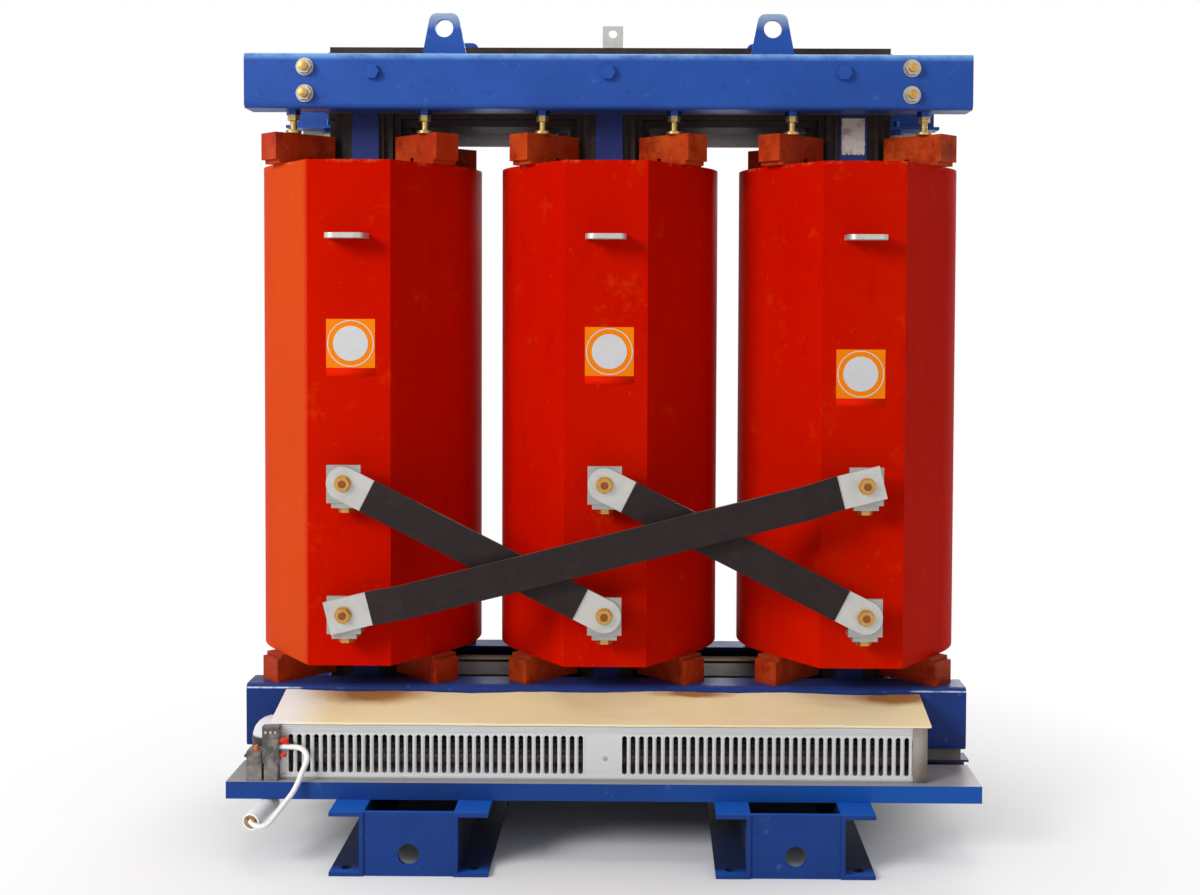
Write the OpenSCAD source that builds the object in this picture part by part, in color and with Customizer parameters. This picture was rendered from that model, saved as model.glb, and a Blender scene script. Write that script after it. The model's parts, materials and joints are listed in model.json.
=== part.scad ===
// Three-phase dry-type power transformer with cast-resin coils, cooling fans and a roller-gauge base.
// X runs left to right seen from the front, the front faces -Y and +Z is up.
// The origin is the middle of the footprint at floor level. All sizes are millimetres.

/* [Core] */
// Diameter of the circle round the stepped core section
core_d = 180; // [165:1:215]
// Width of the tie plates along the limbs
tie_plate_w = 50; // [36:1:60]
// Thickness of the tie plates
tie_plate_t = 8; // [5:0.5:10]

/* [Coils] */
// Air gap between the core circle and the low-voltage coil
core_gap = 16; // [13:1:24]
// Radial thickness of a low-voltage coil
lv_wall = 40; // [24:1:60]
// Width of the cooling duct between the coils of one limb
duct_w = 22; // [12:1:34]
// Radial thickness of a high-voltage coil
hv_wall = 40; // [28:1:60]
// Gap between neighbouring high-voltage coils
coil_gap = 42; // [20:1:90]
// Height of the coils
coil_h = 905; // [760:1:1100]
// Width of the flat front of a high-voltage coil
facet_w = 148; // [110:1:180]
// Distance of the flat front beyond the round body of the coil
facet_reach = 42; // [34:1:60]

/* [Support blocks] */
// Width of a support block
block_w = 50; // [36:1:60]
// Distance that a block reaches beyond the high-voltage coil
block_reach = 24; // [10:1:36]
// Height of a lower block
lower_block_h = 50; // [40:1:70]
// Height of an upper block, with its neck
upper_block_h = 56; // [46:1:80]
// Height of the narrow neck next to the coil
block_neck_h = 7; // [4:1:12]
// Distance that the neck stands back from the block's ends
block_neck_inset = 8; // [4:1:12]
// Width of the slot in a block over the cooling duct
block_slot_w = 10; // [6:1:12]
// Height of that slot
block_slot_h = 14; // [10:1:20]

/* [Clamps] */
// Distance that the clamps reach beyond the yoke ends
clamp_overhang = 127; // [90:1:160]
// Distance that the lower yoke hangs below its clamps
yoke_drop = 50; // [40:1:51]
// Height of the upper yoke's middle above the middle of its clamps
yoke_lift = 8; // [0:1:16]
// Depth of a clamp's flanges
clamp_depth = 65; // [56:1:80]
// Sheet thickness of the clamps
clamp_t = 6; // [4:0.5:9]
// Outer radius of the clamp bends
clamp_bend_r = 10; // [9.5:0.5:14]
// Extra height of the lower clamps over the upper ones
lower_clamp_rise = 15; // [0:1:25]
// Thickness of the insulating boards between clamps and yokes
packer_t = 41; // [30:1:50]
// Distance from the upper blocks to the upper clamps
press_gap = 42; // [34:1:60]
// Diameter of the clamp bolts
clamp_bolt_d = 16; // [12:1:20]
// Distance between the two tie bolts at each end of a clamp
tie_bolt_spacing = 48; // [36:1:56]
// Greatest height of the lower clamps' bolts above the foot of the clamp
lower_bolt_h = 48; // [44:1:54]
// Height of the upper limb bolts above the middle of the clamp
limb_bolt_lift = 15; // [0:1:20]
// Distance of the outer limb bolts from their limb towards the middle
limb_bolt_inset = 31; // [0:1:40]
// Diameter of the press bolts
press_bolt_d = 12; // [8:1:16]
// Distance of a press bolt from the limb centre along X
press_bolt_x = 121; // [112:1:130]

/* [Lifting lugs] */
// Distance between the lugs of one clamp
lug_spacing = 600; // [500:1:700]
// Height of a lug
lug_h = 76; // [66:1:90]
// Width of a lug at its foot
lug_foot_w = 80; // [70:1:110]
// Width of a lug at its top
lug_head_w = 50; // [46:1:64]
// Thickness of a lug
lug_t = 12; // [8:1:18]
// Diameter of the lifting eye
lug_hole_d = 33; // [24:1:36]
// Distance of the eye's centre below the top of the lug
lug_eye_drop = 27; // [24:1:32]

/* [High-voltage terminals] */
// Distance of the line terminals below the coil top
line_terminal_drop = 141; // [80:1:240]
// Width of a line terminal
line_terminal_w = 72; // [50:1:90]
// Distance that a line terminal stands out
line_terminal_l = 52; // [40:1:70]
// Thickness of the terminal plates
terminal_t = 9; // [6:0.5:12]
// Diameter of the line terminal hole
terminal_hole_d = 13; // [9:1:17]
// Height of the lower delta joints above the coil bottom
delta_low = 103; // [80:1:130]
// Height of the upper delta joints above the lower ones
delta_rise = 231; // [180:1:300]
// Width of the delta brackets
bracket_w = 60; // [50:1:76]
// Height of a delta bracket
bracket_h = 67; // [66:1:84]
// Thickness of a delta bracket
bracket_t = 6; // [4:0.5:8]
// Distance of the delta joint plane in front of the coil
delta_reach = 51; // [46:1:64]
// Width of the delta bars
bar_w = 54; // [44:1:58]
// Thickness of the delta bars
bar_t = 6; // [4:0.5:8]
// Wall of the insulating sleeves on the bars
sleeve_t = 2.5; // [1.5:0.5:4]
// Distance between a bracket's corner and the start of the sleeve
sleeve_clearance = 1; // [1:0.5:8]
// Forward offset of the long crossing bar
joggle = 25; // [20:1:34]
// Diameter of the delta bolts
delta_bolt_d = 14; // [10:1:15]

/* [Low-voltage terminals] */
// Width of a low-voltage phase bar
phase_bar_w = 80; // [60:1:100]
// Thickness of the low-voltage bars
phase_bar_t = 8; // [6:0.5:12]
// Distance of the phase terminals behind the rear clamps
phase_bar_back = 50; // [40:1:70]
// Height of the bar supports on the rear clamp
bar_support_h = 70; // [56:1:90]
// Width of a bar support
bar_support_w = 70; // [50:1:90]
// Sheet thickness of a bar support
bar_support_t = 6; // [4:0.5:8]
// Height of the neutral bar
neutral_bar_h = 40; // [30:1:60]
// Thickness of the neutral bar
neutral_bar_t = 6; // [4:0.5:8]
// Width of the neutral terminal plate
neutral_plate_w = 42; // [34:1:60]
// Height of the neutral terminal plate
neutral_plate_h = 46; // [40:1:60]
// Diameter of the low-voltage terminal holes
lv_hole_d = 17; // [11:1:21]
// Distance of a phase bar's upper hole below its top
phase_hole_drop = 40; // [30:1:50]
// Distance between the two holes of a phase bar
phase_hole_spacing = 50; // [36:1:60]

/* [Fans] */
// Length of a fan housing
fan_l = 1136; // [1000:1:1180]
// Offset of the front fan's centre to the left
fan_shift = 2; // [0:1:30]
// Depth of a fan housing
fan_depth = 94; // [90:1:120]
// Height of a housing's front
fan_front_h = 97; // [90:1:110]
// Rise of the housing from front to rear
fan_slope = 20; // [14:1:26]
// Sheet thickness of the housing
fan_sheet = 3; // [2:0.5:5]
// Thickness of the cover board
cover_t = 4; // [3:0.5:8]
// Distance that the cover board reaches over the front of its fan
cover_lip = 4; // [0:1:8]
// Gap between the cover board and the clamp
cover_gap = 1; // [0.5:0.5:4]
// Distance between fan and clamp
fan_gap = 22; // [20:1:30]
// Pitch of the grille slots
slot_pitch = 15; // [12:0.5:20]
// Width of a grille slot
slot_w = 8.5; // [5:0.5:10]
// Height of a grille slot
slot_h = 68; // [54:1:72]
// Width of the plain plate in the middle of the grille
grille_plate_w = 62; // [40:1:90]
// Outer diameter of the impellers
impeller_d = 74; // [60:1:76]
// Number of blades round an impeller
blade_count = 20; // [14:1:24]
// Diameter of the fan shafts
shaft_d = 10; // [8:1:14]
// Running clearance round a fan shaft
shaft_clearance = 0.3; // [0.2:0.05:0.5]
// Diameter of a fan motor
motor_d = 60; // [50:1:64]
// Length of a fan motor
motor_l = 38; // [30:1:44]

/* [Base] */
// Distance between the centres of the two feet
foot_gauge = 660; // [520:1:820]
// Distance between the outer faces of a foot's two webs
foot_web_w = 168; // [120:1:200]
// Height of the base channels
base_h = 110; // [100:1:140]
// Width of the base channel flanges
base_flange = 52; // [44:1:65]
// Wall of the base channels
base_t = 7; // [5:0.5:9]
// Distance that the feet reach beyond the fan shelves
base_reach = 67; // [40:1:100]
// Diameter of the floor bolt holes
floor_hole_d = 18; // [14:1:24]
// Distance of the floor bolt holes from the channel ends
floor_hole_inset = 24; // [18:1:40]
// Diameter of the haulage holes
haul_hole_d = 37; // [28:1:44]
// Height of the haulage holes above the floor
haul_hole_z = 37; // [34:1:60]
// Height of the rails and fan shelves
rail_h = 30; // [24:1:40]
// Depth of the rails under the clamps
rail_depth = 44; // [36:1:48]
// Distance that the rails stand back from the clamp front
rail_setback = 16; // [14:1:20]
// Wall of the rails and shelves
rail_t = 4; // [3:0.5:6]
// Height of the pads between rails and clamps
pad_h = 22; // [16:1:30]
// Distance that a shelf reaches in front of its fan
shelf_front = 21; // [18:1:30]
// Distance that a shelf reaches beyond each end of its fan, before the fan is offset
shelf_margin = 92; // [80:1:110]

/* [Hidden] */
$fn = 64;
// Angles of the lamination packets' corners on the core circle
step_angles = [33.5, 46, 57, 68];
step_w = [for (a = step_angles) core_d * cos(a)];
step_t = [for (a = step_angles) core_d / 2 * sin(a)];
packets = len(step_angles);
core_w = step_w[0];
clamp_h = core_w - yoke_drop;
core_half_t = step_t[packets - 1];

lv_in_r = core_d / 2 + core_gap;
lv_r = lv_in_r + lv_wall;
hv_in_r = lv_r + duct_w;
hv_r = hv_in_r + hv_wall;
facet_y = hv_r + facet_reach;
limb_pitch = 2 * hv_r + coil_gap;
limb_xs = [-limb_pitch, 0, limb_pitch];
yoke_l = 2 * limb_pitch + core_w;

rail_z = base_h;
pad_z = rail_z + rail_h;
lower_clamp_z = pad_z + pad_h;
lower_yoke_top = lower_clamp_z + clamp_h;
lower_block_z = lower_yoke_top + lower_clamp_rise;
coil_z = lower_block_z + lower_block_h;
coil_top = coil_z + coil_h;
block_top = coil_top + upper_block_h;
upper_clamp_z = block_top + press_gap;
upper_clamp_top = upper_clamp_z + clamp_h;
lower_yoke_mid = lower_yoke_top - core_w / 2;
upper_yoke_mid = upper_clamp_z + clamp_h / 2 + yoke_lift;

clamp_l = yoke_l + 2 * clamp_overhang;
clamp_back_y = core_half_t + packer_t;
clamp_front_y = clamp_back_y + clamp_depth;
bolt_hole_r = clamp_bolt_d / 2 + 0.5;
bolt_flats = 1.5 * clamp_bolt_d;
bolt_head_h = 0.64 * clamp_bolt_d;
washer_t = 3;
tie_bolt_x = yoke_l / 2 + clamp_bolt_d;
tie_bolt_zs = [-tie_bolt_spacing / 2, tie_bolt_spacing / 2];
upper_tie_z = upper_clamp_z + clamp_h / 2;
lower_bolt_z = lower_clamp_z + min(lower_bolt_h, clamp_h / 2);
upper_bolt_z = upper_tie_z + limb_bolt_lift;
limb_bolt_xs = [limb_xs[0] + limb_bolt_inset, limb_xs[1], limb_xs[2] - limb_bolt_inset];
// Packer boards stay inside the clamp's outline by half a sheet
packer_inset = clamp_t / 2;
tie_plate_lap = clamp_h * 0.8;
press_bolt_y = clamp_back_y + 26;
hex_to_round = 2 / sqrt(3);

block_r0 = lv_in_r - 1;
block_r1 = hv_r + block_reach;

fan_rear_y = clamp_front_y + fan_gap;
fan_front_y = fan_rear_y + fan_depth;
fan_z = rail_z + rail_h;
shelf_back_y = fan_rear_y - 8;
shelf_front_y = fan_front_y + shelf_front;
shelf_l = fan_l + 2 * shelf_margin;
fan_left_x = -fan_shift - fan_l / 2;
fan_axis_y = fan_depth / 2;
fan_axis_z = (fan_front_h + fan_sheet) / 2 + 2;
fan_end_t = fan_sheet + 1;
grille_t = 4;
slot_z = 11;
slot_margin = 12;
slots_per_side = floor((fan_l / 2 - grille_plate_w / 2 - slot_margin) / slot_pitch);
drum_gap = 34;
drum_l = fan_l / 2 - fan_end_t - drum_gap / 2 - 10;
drum_discs = 5;
disc_t = 3;
blade_t = 1.6;
blade_lean = 24;
blade_inner_r = impeller_d / 2 - 10;
blade_outer_r = impeller_d / 2 - 0.6;
motor_shaft_depth = 22;

base_half_l = shelf_front_y + base_reach;
foot_xs = [-foot_gauge / 2, foot_gauge / 2];
floor_hole_y = base_half_l - floor_hole_inset;
end_plate_t = 8;
end_plate_setback = 3;

delta_zs = [coil_z + delta_low, coil_z + delta_low + delta_rise];
delta_face_y = facet_y + delta_reach;
tongue_w = 44;
tongue_setback = 3;
bracket_foot_l = 34;
bracket_top_z = 32;
bracket_foot_z = bracket_top_z - bracket_h;
// The bars are bare and as wide as their sleeves over the brackets
sleeve_w = bar_w + 2 * sleeve_t;
sleeve_start = norm([bracket_w / 2, max(bracket_top_z, -bracket_foot_z)]) + sleeve_clearance;
tongue_bolt_y = delta_face_y - bracket_t - 17;
line_hole_y = facet_y + line_terminal_l - 22;
delta_hole_r = delta_bolt_d / 2 + 0.5;
delta_flats = 1.7 * delta_bolt_d;
delta_head_h = 0.66 * delta_bolt_d;

support_top = upper_clamp_top + bar_support_h;
phase_bar_y = clamp_front_y + phase_bar_back;
phase_bar_z = coil_top + 0.6 * upper_block_h;
phase_hole_zs = [support_top - phase_hole_drop, support_top - phase_hole_drop - phase_hole_spacing];
neutral_plate_foot = 32;
neutral_hole_z = support_top + neutral_plate_h - 16;

// Terminal boxes at the left end of the front fan: lowest corner and size
box_y = fan_front_y + 1;
relay_box = [[fan_left_x - 27, -box_y - 16, fan_z + 32], [29, 16, 64]];
relay_foot = [[fan_left_x - 24, -box_y - 16, fan_z], [23, 16, 32]];
side_box = [[fan_left_x - 55, -box_y - 14, fan_z], [26, 30, 52]];
// Ends of the capacitor's axis, which leans out under the shelf
capacitor_d = 30;
capacitor_ends = [
    [fan_left_x - 16, -shelf_front_y + 26.5, rail_z - 12.6],
    [fan_left_x - 32, -shelf_front_y - 51.5, rail_z - 22.5]
];
// Lead from the relay box down past the shelf and round into the capacitor's end, from the shelf's front edge
lead_d = 9.5;
lead_route = [
    [2, 12.4, 89], [12.4, 12.4, 89], [22.9, 11.8, 88.7], [33.3, 10.9, 88], [40.3, 9.9, 86.4],
    [46.1, 8.2, 82.7], [50.2, 5.8, 77.3], [51.8, 3.2, 70.9], [50.8, 0.5, 64.3], [47.1, -3.5, 54.2],
    [43.4, -7.4, 44.2], [39.8, -11.4, 34.1], [37.2, -14.2, 27.8], [34.3, -17.3, 21.9], [31, -20.9, 16.3],
    [27.3, -24.8, 11.3], [22.2, -30.3, 4.9], [17.2, -35.7, -1.6], [12.1, -41.2, -8], [7, -46.6, -14.4],
    [1.9, -52.1, -20.8], [-2.5, -55.3, -24.7], [-8.3, -57.3, -27.3], [-15, -57.8, -28.4],
    [-21.5, -56.8, -27.6], [-27.3, -54.3, -25.3], [-34.3, -50.1, -21.1]
];
lead_points = [for (p = lead_route) p + [fan_left_x, -shelf_front_y, rail_z]];
lead_sides = 8;

// Copies for the two sides and the three limbs

module front_and_rear() {
    children();
    mirror([0, 1, 0]) children();
}

module left_and_right() {
    children();
    mirror([1, 0, 0]) children();
}

module at_limbs() {
    for (x = limb_xs) translate([x, 0, 0]) children();
}

module front_and_rear_fan() {
    translate([-fan_shift, -fan_rear_y, fan_z]) children();
    rotate(180) translate([-fan_shift, -fan_rear_y, fan_z]) children();
}

// Draws a profile given in Y and Z along X, centred on X = 0
module along_x(l) {
    rotate([90, 0, 90]) linear_extrude(l, center = true) children();
}

// Block from its lowest corner and its size
module corner_block(block) {
    translate(block[0]) cube(block[1]);
}

module hex_prism(flats, h) {
    cylinder(d = flats * hex_to_round, h = h, $fn = 6);
}

// Stepped core

module limb(x) {
    for (i = [0 : packets - 1]) {
        inner = i == 0 ? 0 : step_t[i - 1];
        z0 = lower_yoke_mid + step_w[i] / 2;
        z1 = upper_yoke_mid - step_w[i] / 2;
        front_and_rear()
            translate([x - step_w[i] / 2, inner, z0]) cube([step_w[i], step_t[i] - inner, z1 - z0]);
    }
}

module yoke(mid_z) {
    for (i = [0 : packets - 1])
        translate([-yoke_l / 2, -step_t[i], mid_z - step_w[i] / 2]) cube([yoke_l, 2 * step_t[i], step_w[i]]);
}

module left_core_limb() color("#4a4744") limb(limb_xs[0]);
module centre_core_limb() color("#4a4744") limb(limb_xs[1]);
module right_core_limb() color("#4a4744") limb(limb_xs[2]);
module upper_core_yoke() color("#4a4744") yoke(upper_yoke_mid);
module lower_core_yoke() color("#4a4744") yoke(lower_yoke_mid);

module tie_plates() color("#2b49a0") {
    z0 = lower_yoke_top - tie_plate_lap;
    z1 = upper_clamp_z + tie_plate_lap;
    at_limbs() front_and_rear()
        translate([-tie_plate_w / 2, core_half_t, z0]) cube([tie_plate_w, tie_plate_t, z1 - z0]);
}

// Insulating board behind one clamp, slotted for the tie plates and drilled for the limb bolts
module packer(clamp_z, bolt_z) {
    h = clamp_h - 2 * packer_inset;
    difference() {
        translate([-yoke_l / 2, core_half_t, clamp_z + packer_inset]) cube([yoke_l, packer_t, h]);
        for (x = limb_xs) translate([x - tie_plate_w / 2, core_half_t - 1, clamp_z - 1])
            cube([tie_plate_w, tie_plate_t + 1, clamp_h + 2]);
        for (x = limb_bolt_xs) translate([x, core_half_t - 1, bolt_z]) rotate([-90, 0, 0])
            cylinder(r = bolt_hole_r, h = packer_t + 2);
    }
}

module yoke_packers() color("#6b5a41") front_and_rear() {
    packer(upper_clamp_z, upper_bolt_z);
    packer(lower_clamp_z, lower_bolt_z);
}

// Clamps: folded channels with the web outside and the flanges towards the core

module clamp_profile(h) {
    r = clamp_bend_r;
    inner_r = clamp_bend_r - clamp_t;
    difference() {
        union() {
            translate([0, r]) square([clamp_depth, h - 2 * r]);
            square([clamp_depth - r, h]);
            for (y = [r, h - r]) translate([clamp_depth - r, y]) circle(r);
        }
        translate([-1, clamp_t]) square([clamp_depth - r + 1, h - 2 * clamp_t]);
        translate([-1, r]) square([clamp_depth - clamp_t + 1, h - 2 * r]);
        for (y = [r, h - r]) translate([clamp_depth - r, y]) circle(inner_r);
    }
}

// Rear clamp; the front one is its mirror image
module clamp(z, h, bolt_z, tie_z) {
    difference() {
        translate([0, clamp_back_y, z]) along_x(clamp_l) clamp_profile(h);
        for (x = limb_bolt_xs) clamp_hole(x, bolt_z);
        for (x = [-tie_bolt_x, tie_bolt_x], dz = tie_bolt_zs) clamp_hole(x, tie_z + dz);
    }
}

module clamp_hole(x, z) {
    translate([x, clamp_front_y - clamp_t - 1, z]) rotate([-90, 0, 0]) cylinder(r = bolt_hole_r, h = clamp_t + 2);
}

// The upper clamps are drilled through their lower flange for the press bolts
module upper_clamp() {
    difference() {
        clamp(upper_clamp_z, clamp_h, upper_bolt_z, upper_tie_z);
        for (x = limb_xs, side = [-1, 1])
            translate([x + side * press_bolt_x, press_bolt_y, upper_clamp_z - 1])
                cylinder(r = press_bolt_d / 2 + 0.5, h = clamp_t + 2);
    }
}

module lower_clamp() {
    clamp(lower_clamp_z, clamp_h + lower_clamp_rise, lower_bolt_z, lower_bolt_z);
}

module upper_front_clamp() color("#2f55b5") mirror([0, 1, 0]) upper_clamp();
module upper_rear_clamp() color("#2f55b5") upper_clamp();
module lower_front_clamp() color("#2f55b5") mirror([0, 1, 0]) lower_clamp();
module lower_rear_clamp() color("#2f55b5") lower_clamp();

// Plate that narrows to a top with rounded corners, drilled for a shackle
module lug() {
    corner_r = 14;
    lean = atan((lug_foot_w - lug_head_w) / 2 / lug_h);
    corner_z = lug_h - corner_r;
    corner_x = lug_head_w / 2 + corner_r * tan(lean) - corner_r / cos(lean);
    side = [corner_x + corner_r * cos(lean), corner_z + corner_r * sin(lean)];
    rotate([90, 0, 0]) linear_extrude(lug_t, center = true) difference() {
        union() {
            polygon([
                [-lug_foot_w / 2, 0], [lug_foot_w / 2, 0], side, [corner_x, corner_z], [corner_x, lug_h],
                [-corner_x, lug_h], [-corner_x, corner_z], [-side.x, side.y]
            ]);
            for (x = [-corner_x, corner_x]) translate([x, corner_z]) circle(corner_r);
        }
        translate([0, lug_h - lug_eye_drop]) circle(d = lug_hole_d);
    }
}

module lifting_lugs() color("#2f55b5") front_and_rear() left_and_right()
    translate([lug_spacing / 2, clamp_back_y + clamp_depth / 2, upper_clamp_top]) lug();

// Long bolts past the yoke ends, with a washer and nut outside each clamp
module tie_bolt(x, z) {
    rod_l = 2 * (clamp_front_y + washer_t + bolt_head_h + 6);
    translate([x, 0, z]) rotate([90, 0, 0]) cylinder(d = clamp_bolt_d, h = rod_l, center = true);
    front_and_rear() translate([x, clamp_front_y, z]) rotate([-90, 0, 0]) {
        cylinder(d = 2 * clamp_bolt_d, h = washer_t);
        hex_prism(bolt_flats, washer_t + bolt_head_h);
    }
}

module clamp_tie_bolts() color("#b9b4a4")
    for (x = [-tie_bolt_x, tie_bolt_x], dz = tie_bolt_zs) {
        tie_bolt(x, upper_tie_z + dz);
        tie_bolt(x, lower_bolt_z + dz);
    }

// Painted bolts through the clamps and packer boards towards the core
module limb_bolts() color("#2b49a0") {
    y0 = core_half_t + tie_plate_t;
    for (x = limb_bolt_xs, z = [upper_bolt_z, lower_bolt_z]) front_and_rear() {
        translate([x, y0, z]) rotate([-90, 0, 0])
            cylinder(d = clamp_bolt_d, h = clamp_front_y + bolt_head_h / 2 - y0);
        translate([x, clamp_front_y, z]) rotate([-90, 0, 0]) hex_prism(bolt_flats, bolt_head_h);
    }
}

// Coils

// Round body with tangent sides that run out to a flat front
module hv_outline() {
    corner = [facet_w / 2, facet_y];
    tangent_turn = atan(corner.x / corner.y) + acos(hv_r / norm(corner));
    tangent_r = hv_r - 0.5;
    side = [tangent_r * sin(tangent_turn), tangent_r * cos(tangent_turn)];
    circle(hv_r, $fn = 128);
    polygon([[0, 0], [-side.x, -side.y], [-corner.x, -corner.y], [corner.x, -corner.y], [side.x, -side.y]]);
}

module hv_coil(x) {
    translate([x, 0, coil_z]) linear_extrude(coil_h) difference() {
        hv_outline();
        circle(hv_in_r, $fn = 128);
    }
}

module lv_coil(x) {
    translate([x, 0, coil_z]) linear_extrude(coil_h) difference() {
        circle(lv_r, $fn = 128);
        circle(lv_in_r, $fn = 128);
    }
}

module left_hv_coil() color("#c22a17") hv_coil(limb_xs[0]);
module centre_hv_coil() color("#c22a17") hv_coil(limb_xs[1]);
module right_hv_coil() color("#c22a17") hv_coil(limb_xs[2]);
module left_lv_coil() color("#8a2b1c") lv_coil(limb_xs[0]);
module centre_lv_coil() color("#8a2b1c") lv_coil(limb_xs[1]);
module right_lv_coil() color("#8a2b1c") lv_coil(limb_xs[2]);

// Radial support block, drawn in radius and height with its neck and duct slot at the bottom
module support_block(h) {
    slot_r = lv_r + duct_w / 2;
    slot = [slot_r - block_slot_w / 2, slot_r + block_slot_w / 2];
    rotate([90, 0, 0]) linear_extrude(block_w, center = true) polygon([
        [block_r0 + block_neck_inset, 0], [slot[0], 0], [slot[0], block_slot_h], [slot[1], block_slot_h],
        [slot[1], 0], [block_r1 - block_neck_inset, 0], [block_r1 - block_neck_inset, block_neck_h],
        [block_r1, block_neck_h], [block_r1, h], [block_r0, h],
        [block_r0, block_neck_h], [block_r0 + block_neck_inset, block_neck_h]
    ]);
}

module upper_support_blocks() color("#a3301d") at_limbs() for (a = [45 : 90 : 315])
    translate([0, 0, coil_top]) rotate(a) support_block(upper_block_h);

module lower_support_blocks() color("#a3301d") at_limbs() for (a = [45 : 90 : 315])
    translate([0, 0, coil_z]) rotate(a) mirror([0, 0, 1]) support_block(lower_block_h);

// Stud through the clamp's flange, with a nut below it and a foot on the block
module press_bolt() {
    foot_h = 5;
    nut_h = 9;
    adjuster_h = 10;
    stud_over = 14;
    cylinder(d = 2.4 * press_bolt_d, h = foot_h);
    cylinder(d = press_bolt_d, h = press_gap + clamp_t + stud_over);
    translate([0, 0, press_gap - nut_h]) hex_prism(1.9 * press_bolt_d, nut_h);
    translate([0, 0, press_gap - nut_h - adjuster_h]) hex_prism(1.6 * press_bolt_d, adjuster_h);
}

module press_bolts() color("#b8963c") at_limbs() front_and_rear() left_and_right()
    translate([press_bolt_x, press_bolt_y, block_top]) press_bolt();

// High-voltage terminals

// Rounded plate standing out of the flat front, with a vertical bolt hole
module hv_line_terminals() color("#c9c6c0") at_limbs()
    translate([0, 0, coil_top - line_terminal_drop]) linear_extrude(terminal_t) difference() {
        corner_r = 18;
        front = facet_y + line_terminal_l;
        union() {
            translate([-line_terminal_w / 2, -front + corner_r])
                square([line_terminal_w, line_terminal_l - corner_r]);
            translate([-line_terminal_w / 2 + corner_r, -front])
                square([line_terminal_w - 2 * corner_r, line_terminal_l]);
            for (side = [-1, 1])
                translate([side * (line_terminal_w / 2 - corner_r), -front + corner_r]) circle(corner_r);
        }
        translate([0, -line_hole_y]) circle(d = terminal_hole_d);
    }

module at_delta_joints() {
    at_limbs() for (z = delta_zs) translate([0, 0, z]) children();
}

// Flat tongue that carries a bracket, drilled for the bracket's bolt
module delta_tongues() color("#c9c6c0") at_delta_joints()
    translate([0, 0, bracket_foot_z - terminal_t]) difference() {
        translate([-tongue_w / 2, -delta_face_y + tongue_setback, 0])
            cube([tongue_w, delta_reach - tongue_setback, terminal_t]);
        translate([0, -tongue_bolt_y, -1]) cylinder(r = delta_hole_r, h = terminal_t + 2);
    }

// Angle with its foot on the tongue and a drilled upright face
module delta_brackets() color("#c9c6c0") at_delta_joints() difference() {
    translate([0, 0, bracket_foot_z]) union() {
        translate([-bracket_w / 2, -delta_face_y, 0]) cube([bracket_w, bracket_t, bracket_h]);
        translate([-bracket_w / 2, -delta_face_y, 0]) cube([bracket_w, bracket_foot_l, bracket_t]);
    }
    translate([0, -delta_face_y - 1, 0]) rotate([-90, 0, 0]) cylinder(r = delta_hole_r, h = bracket_t + 2);
    translate([0, -tongue_bolt_y, bracket_foot_z - 1]) cylinder(r = delta_hole_r, h = bracket_t + 2);
}

// Bolt along -Z from its head at the origin through a grip of the given length to its nut
module through_bolt(grip) {
    hex_prism(delta_flats, delta_head_h);
    translate([0, 0, -grip - delta_head_h - 3]) cylinder(d = delta_bolt_d, h = grip + delta_head_h + 3);
    translate([0, 0, -grip - delta_head_h]) hex_prism(delta_flats, delta_head_h);
}

module delta_bolts() color("#b8963c") at_delta_joints() {
    translate([0, -delta_face_y - bar_t, 0]) rotate([90, 0, 0]) through_bolt(bar_t + bracket_t);
    translate([0, -tongue_bolt_y, bracket_foot_z - terminal_t]) rotate([180, 0, 0])
        through_bolt(terminal_t + bracket_t);
}

// The three bars: first limb, its joint, last limb, its joint, forward offset, round ends
delta_links = [[0, 1, 1, 0, 0, true], [1, 1, 2, 0, 0, true], [0, 0, 2, 1, joggle, false]];

function link_start(link) = [limb_xs[link[0]], delta_zs[link[1]]];
function link_end(link) = [limb_xs[link[2]], delta_zs[link[3]]];
function link_run(link) = link_end(link) - link_start(link);

// Strip of thickness t that follows a bar of length l, between two distances along it
module bar_strip(l, offset_y, t, from, to) {
    bend_start = sleeve_start + 3;
    bend_end = bend_start + 62;
    bends = [0, bend_start, bend_end, l - bend_end, l - bend_start, l];
    function at(u) = lookup(u, [
        [bends[0], 0], [bends[1], 0], [bends[2], offset_y], [bends[3], offset_y], [bends[4], 0], [bends[5], 0]
    ]);
    stations = concat([from], [for (u = bends) if (u > from && u < to) u], [to]);
    polygon(concat(
        [for (u = stations) [u, -at(u) - t / 2]],
        [for (i = [len(stations) - 1 : -1 : 0]) [stations[i], -at(stations[i]) + t / 2]]
    ));
}

// Places what is drawn along X, forward -Y, on the line between a link's two joints
module on_link(link) {
    run = link_run(link);
    translate([link_start(link).x, -delta_face_y - bar_t / 2, link_start(link).y])
        rotate([0, -atan2(run.y, run.x), 0]) children();
}

module delta_bar(link) {
    l = norm(link_run(link));
    end_r = sleeve_w / 2;
    on_link(link) difference() {
        union() {
            linear_extrude(bar_w, center = true) bar_strip(l, link[4], bar_t, 0, l);
            for (side = [0, 1]) translate([side * l, 0, 0]) mirror([side, 0, 0]) {
                if (link[5]) rotate([90, 0, 0]) cylinder(r = end_r, h = bar_t, center = true);
                translate([link[5] ? 0 : -end_r, -bar_t / 2, -end_r])
                    cube([link[5] ? sleeve_start : sleeve_start + end_r, bar_t, sleeve_w]);
            }
        }
        for (u = [0, l]) translate([u, 0, 0]) rotate([90, 0, 0])
            cylinder(r = delta_hole_r, h = bar_t + 2, center = true);
    }
}

module delta_sleeve(link) {
    l = norm(link_run(link));
    on_link(link) difference() {
        linear_extrude(sleeve_w, center = true)
            bar_strip(l, link[4], bar_t + 2 * sleeve_t, sleeve_start, l - sleeve_start);
        linear_extrude(bar_w, center = true) bar_strip(l, link[4], bar_t, 0, l);
    }
}

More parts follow.
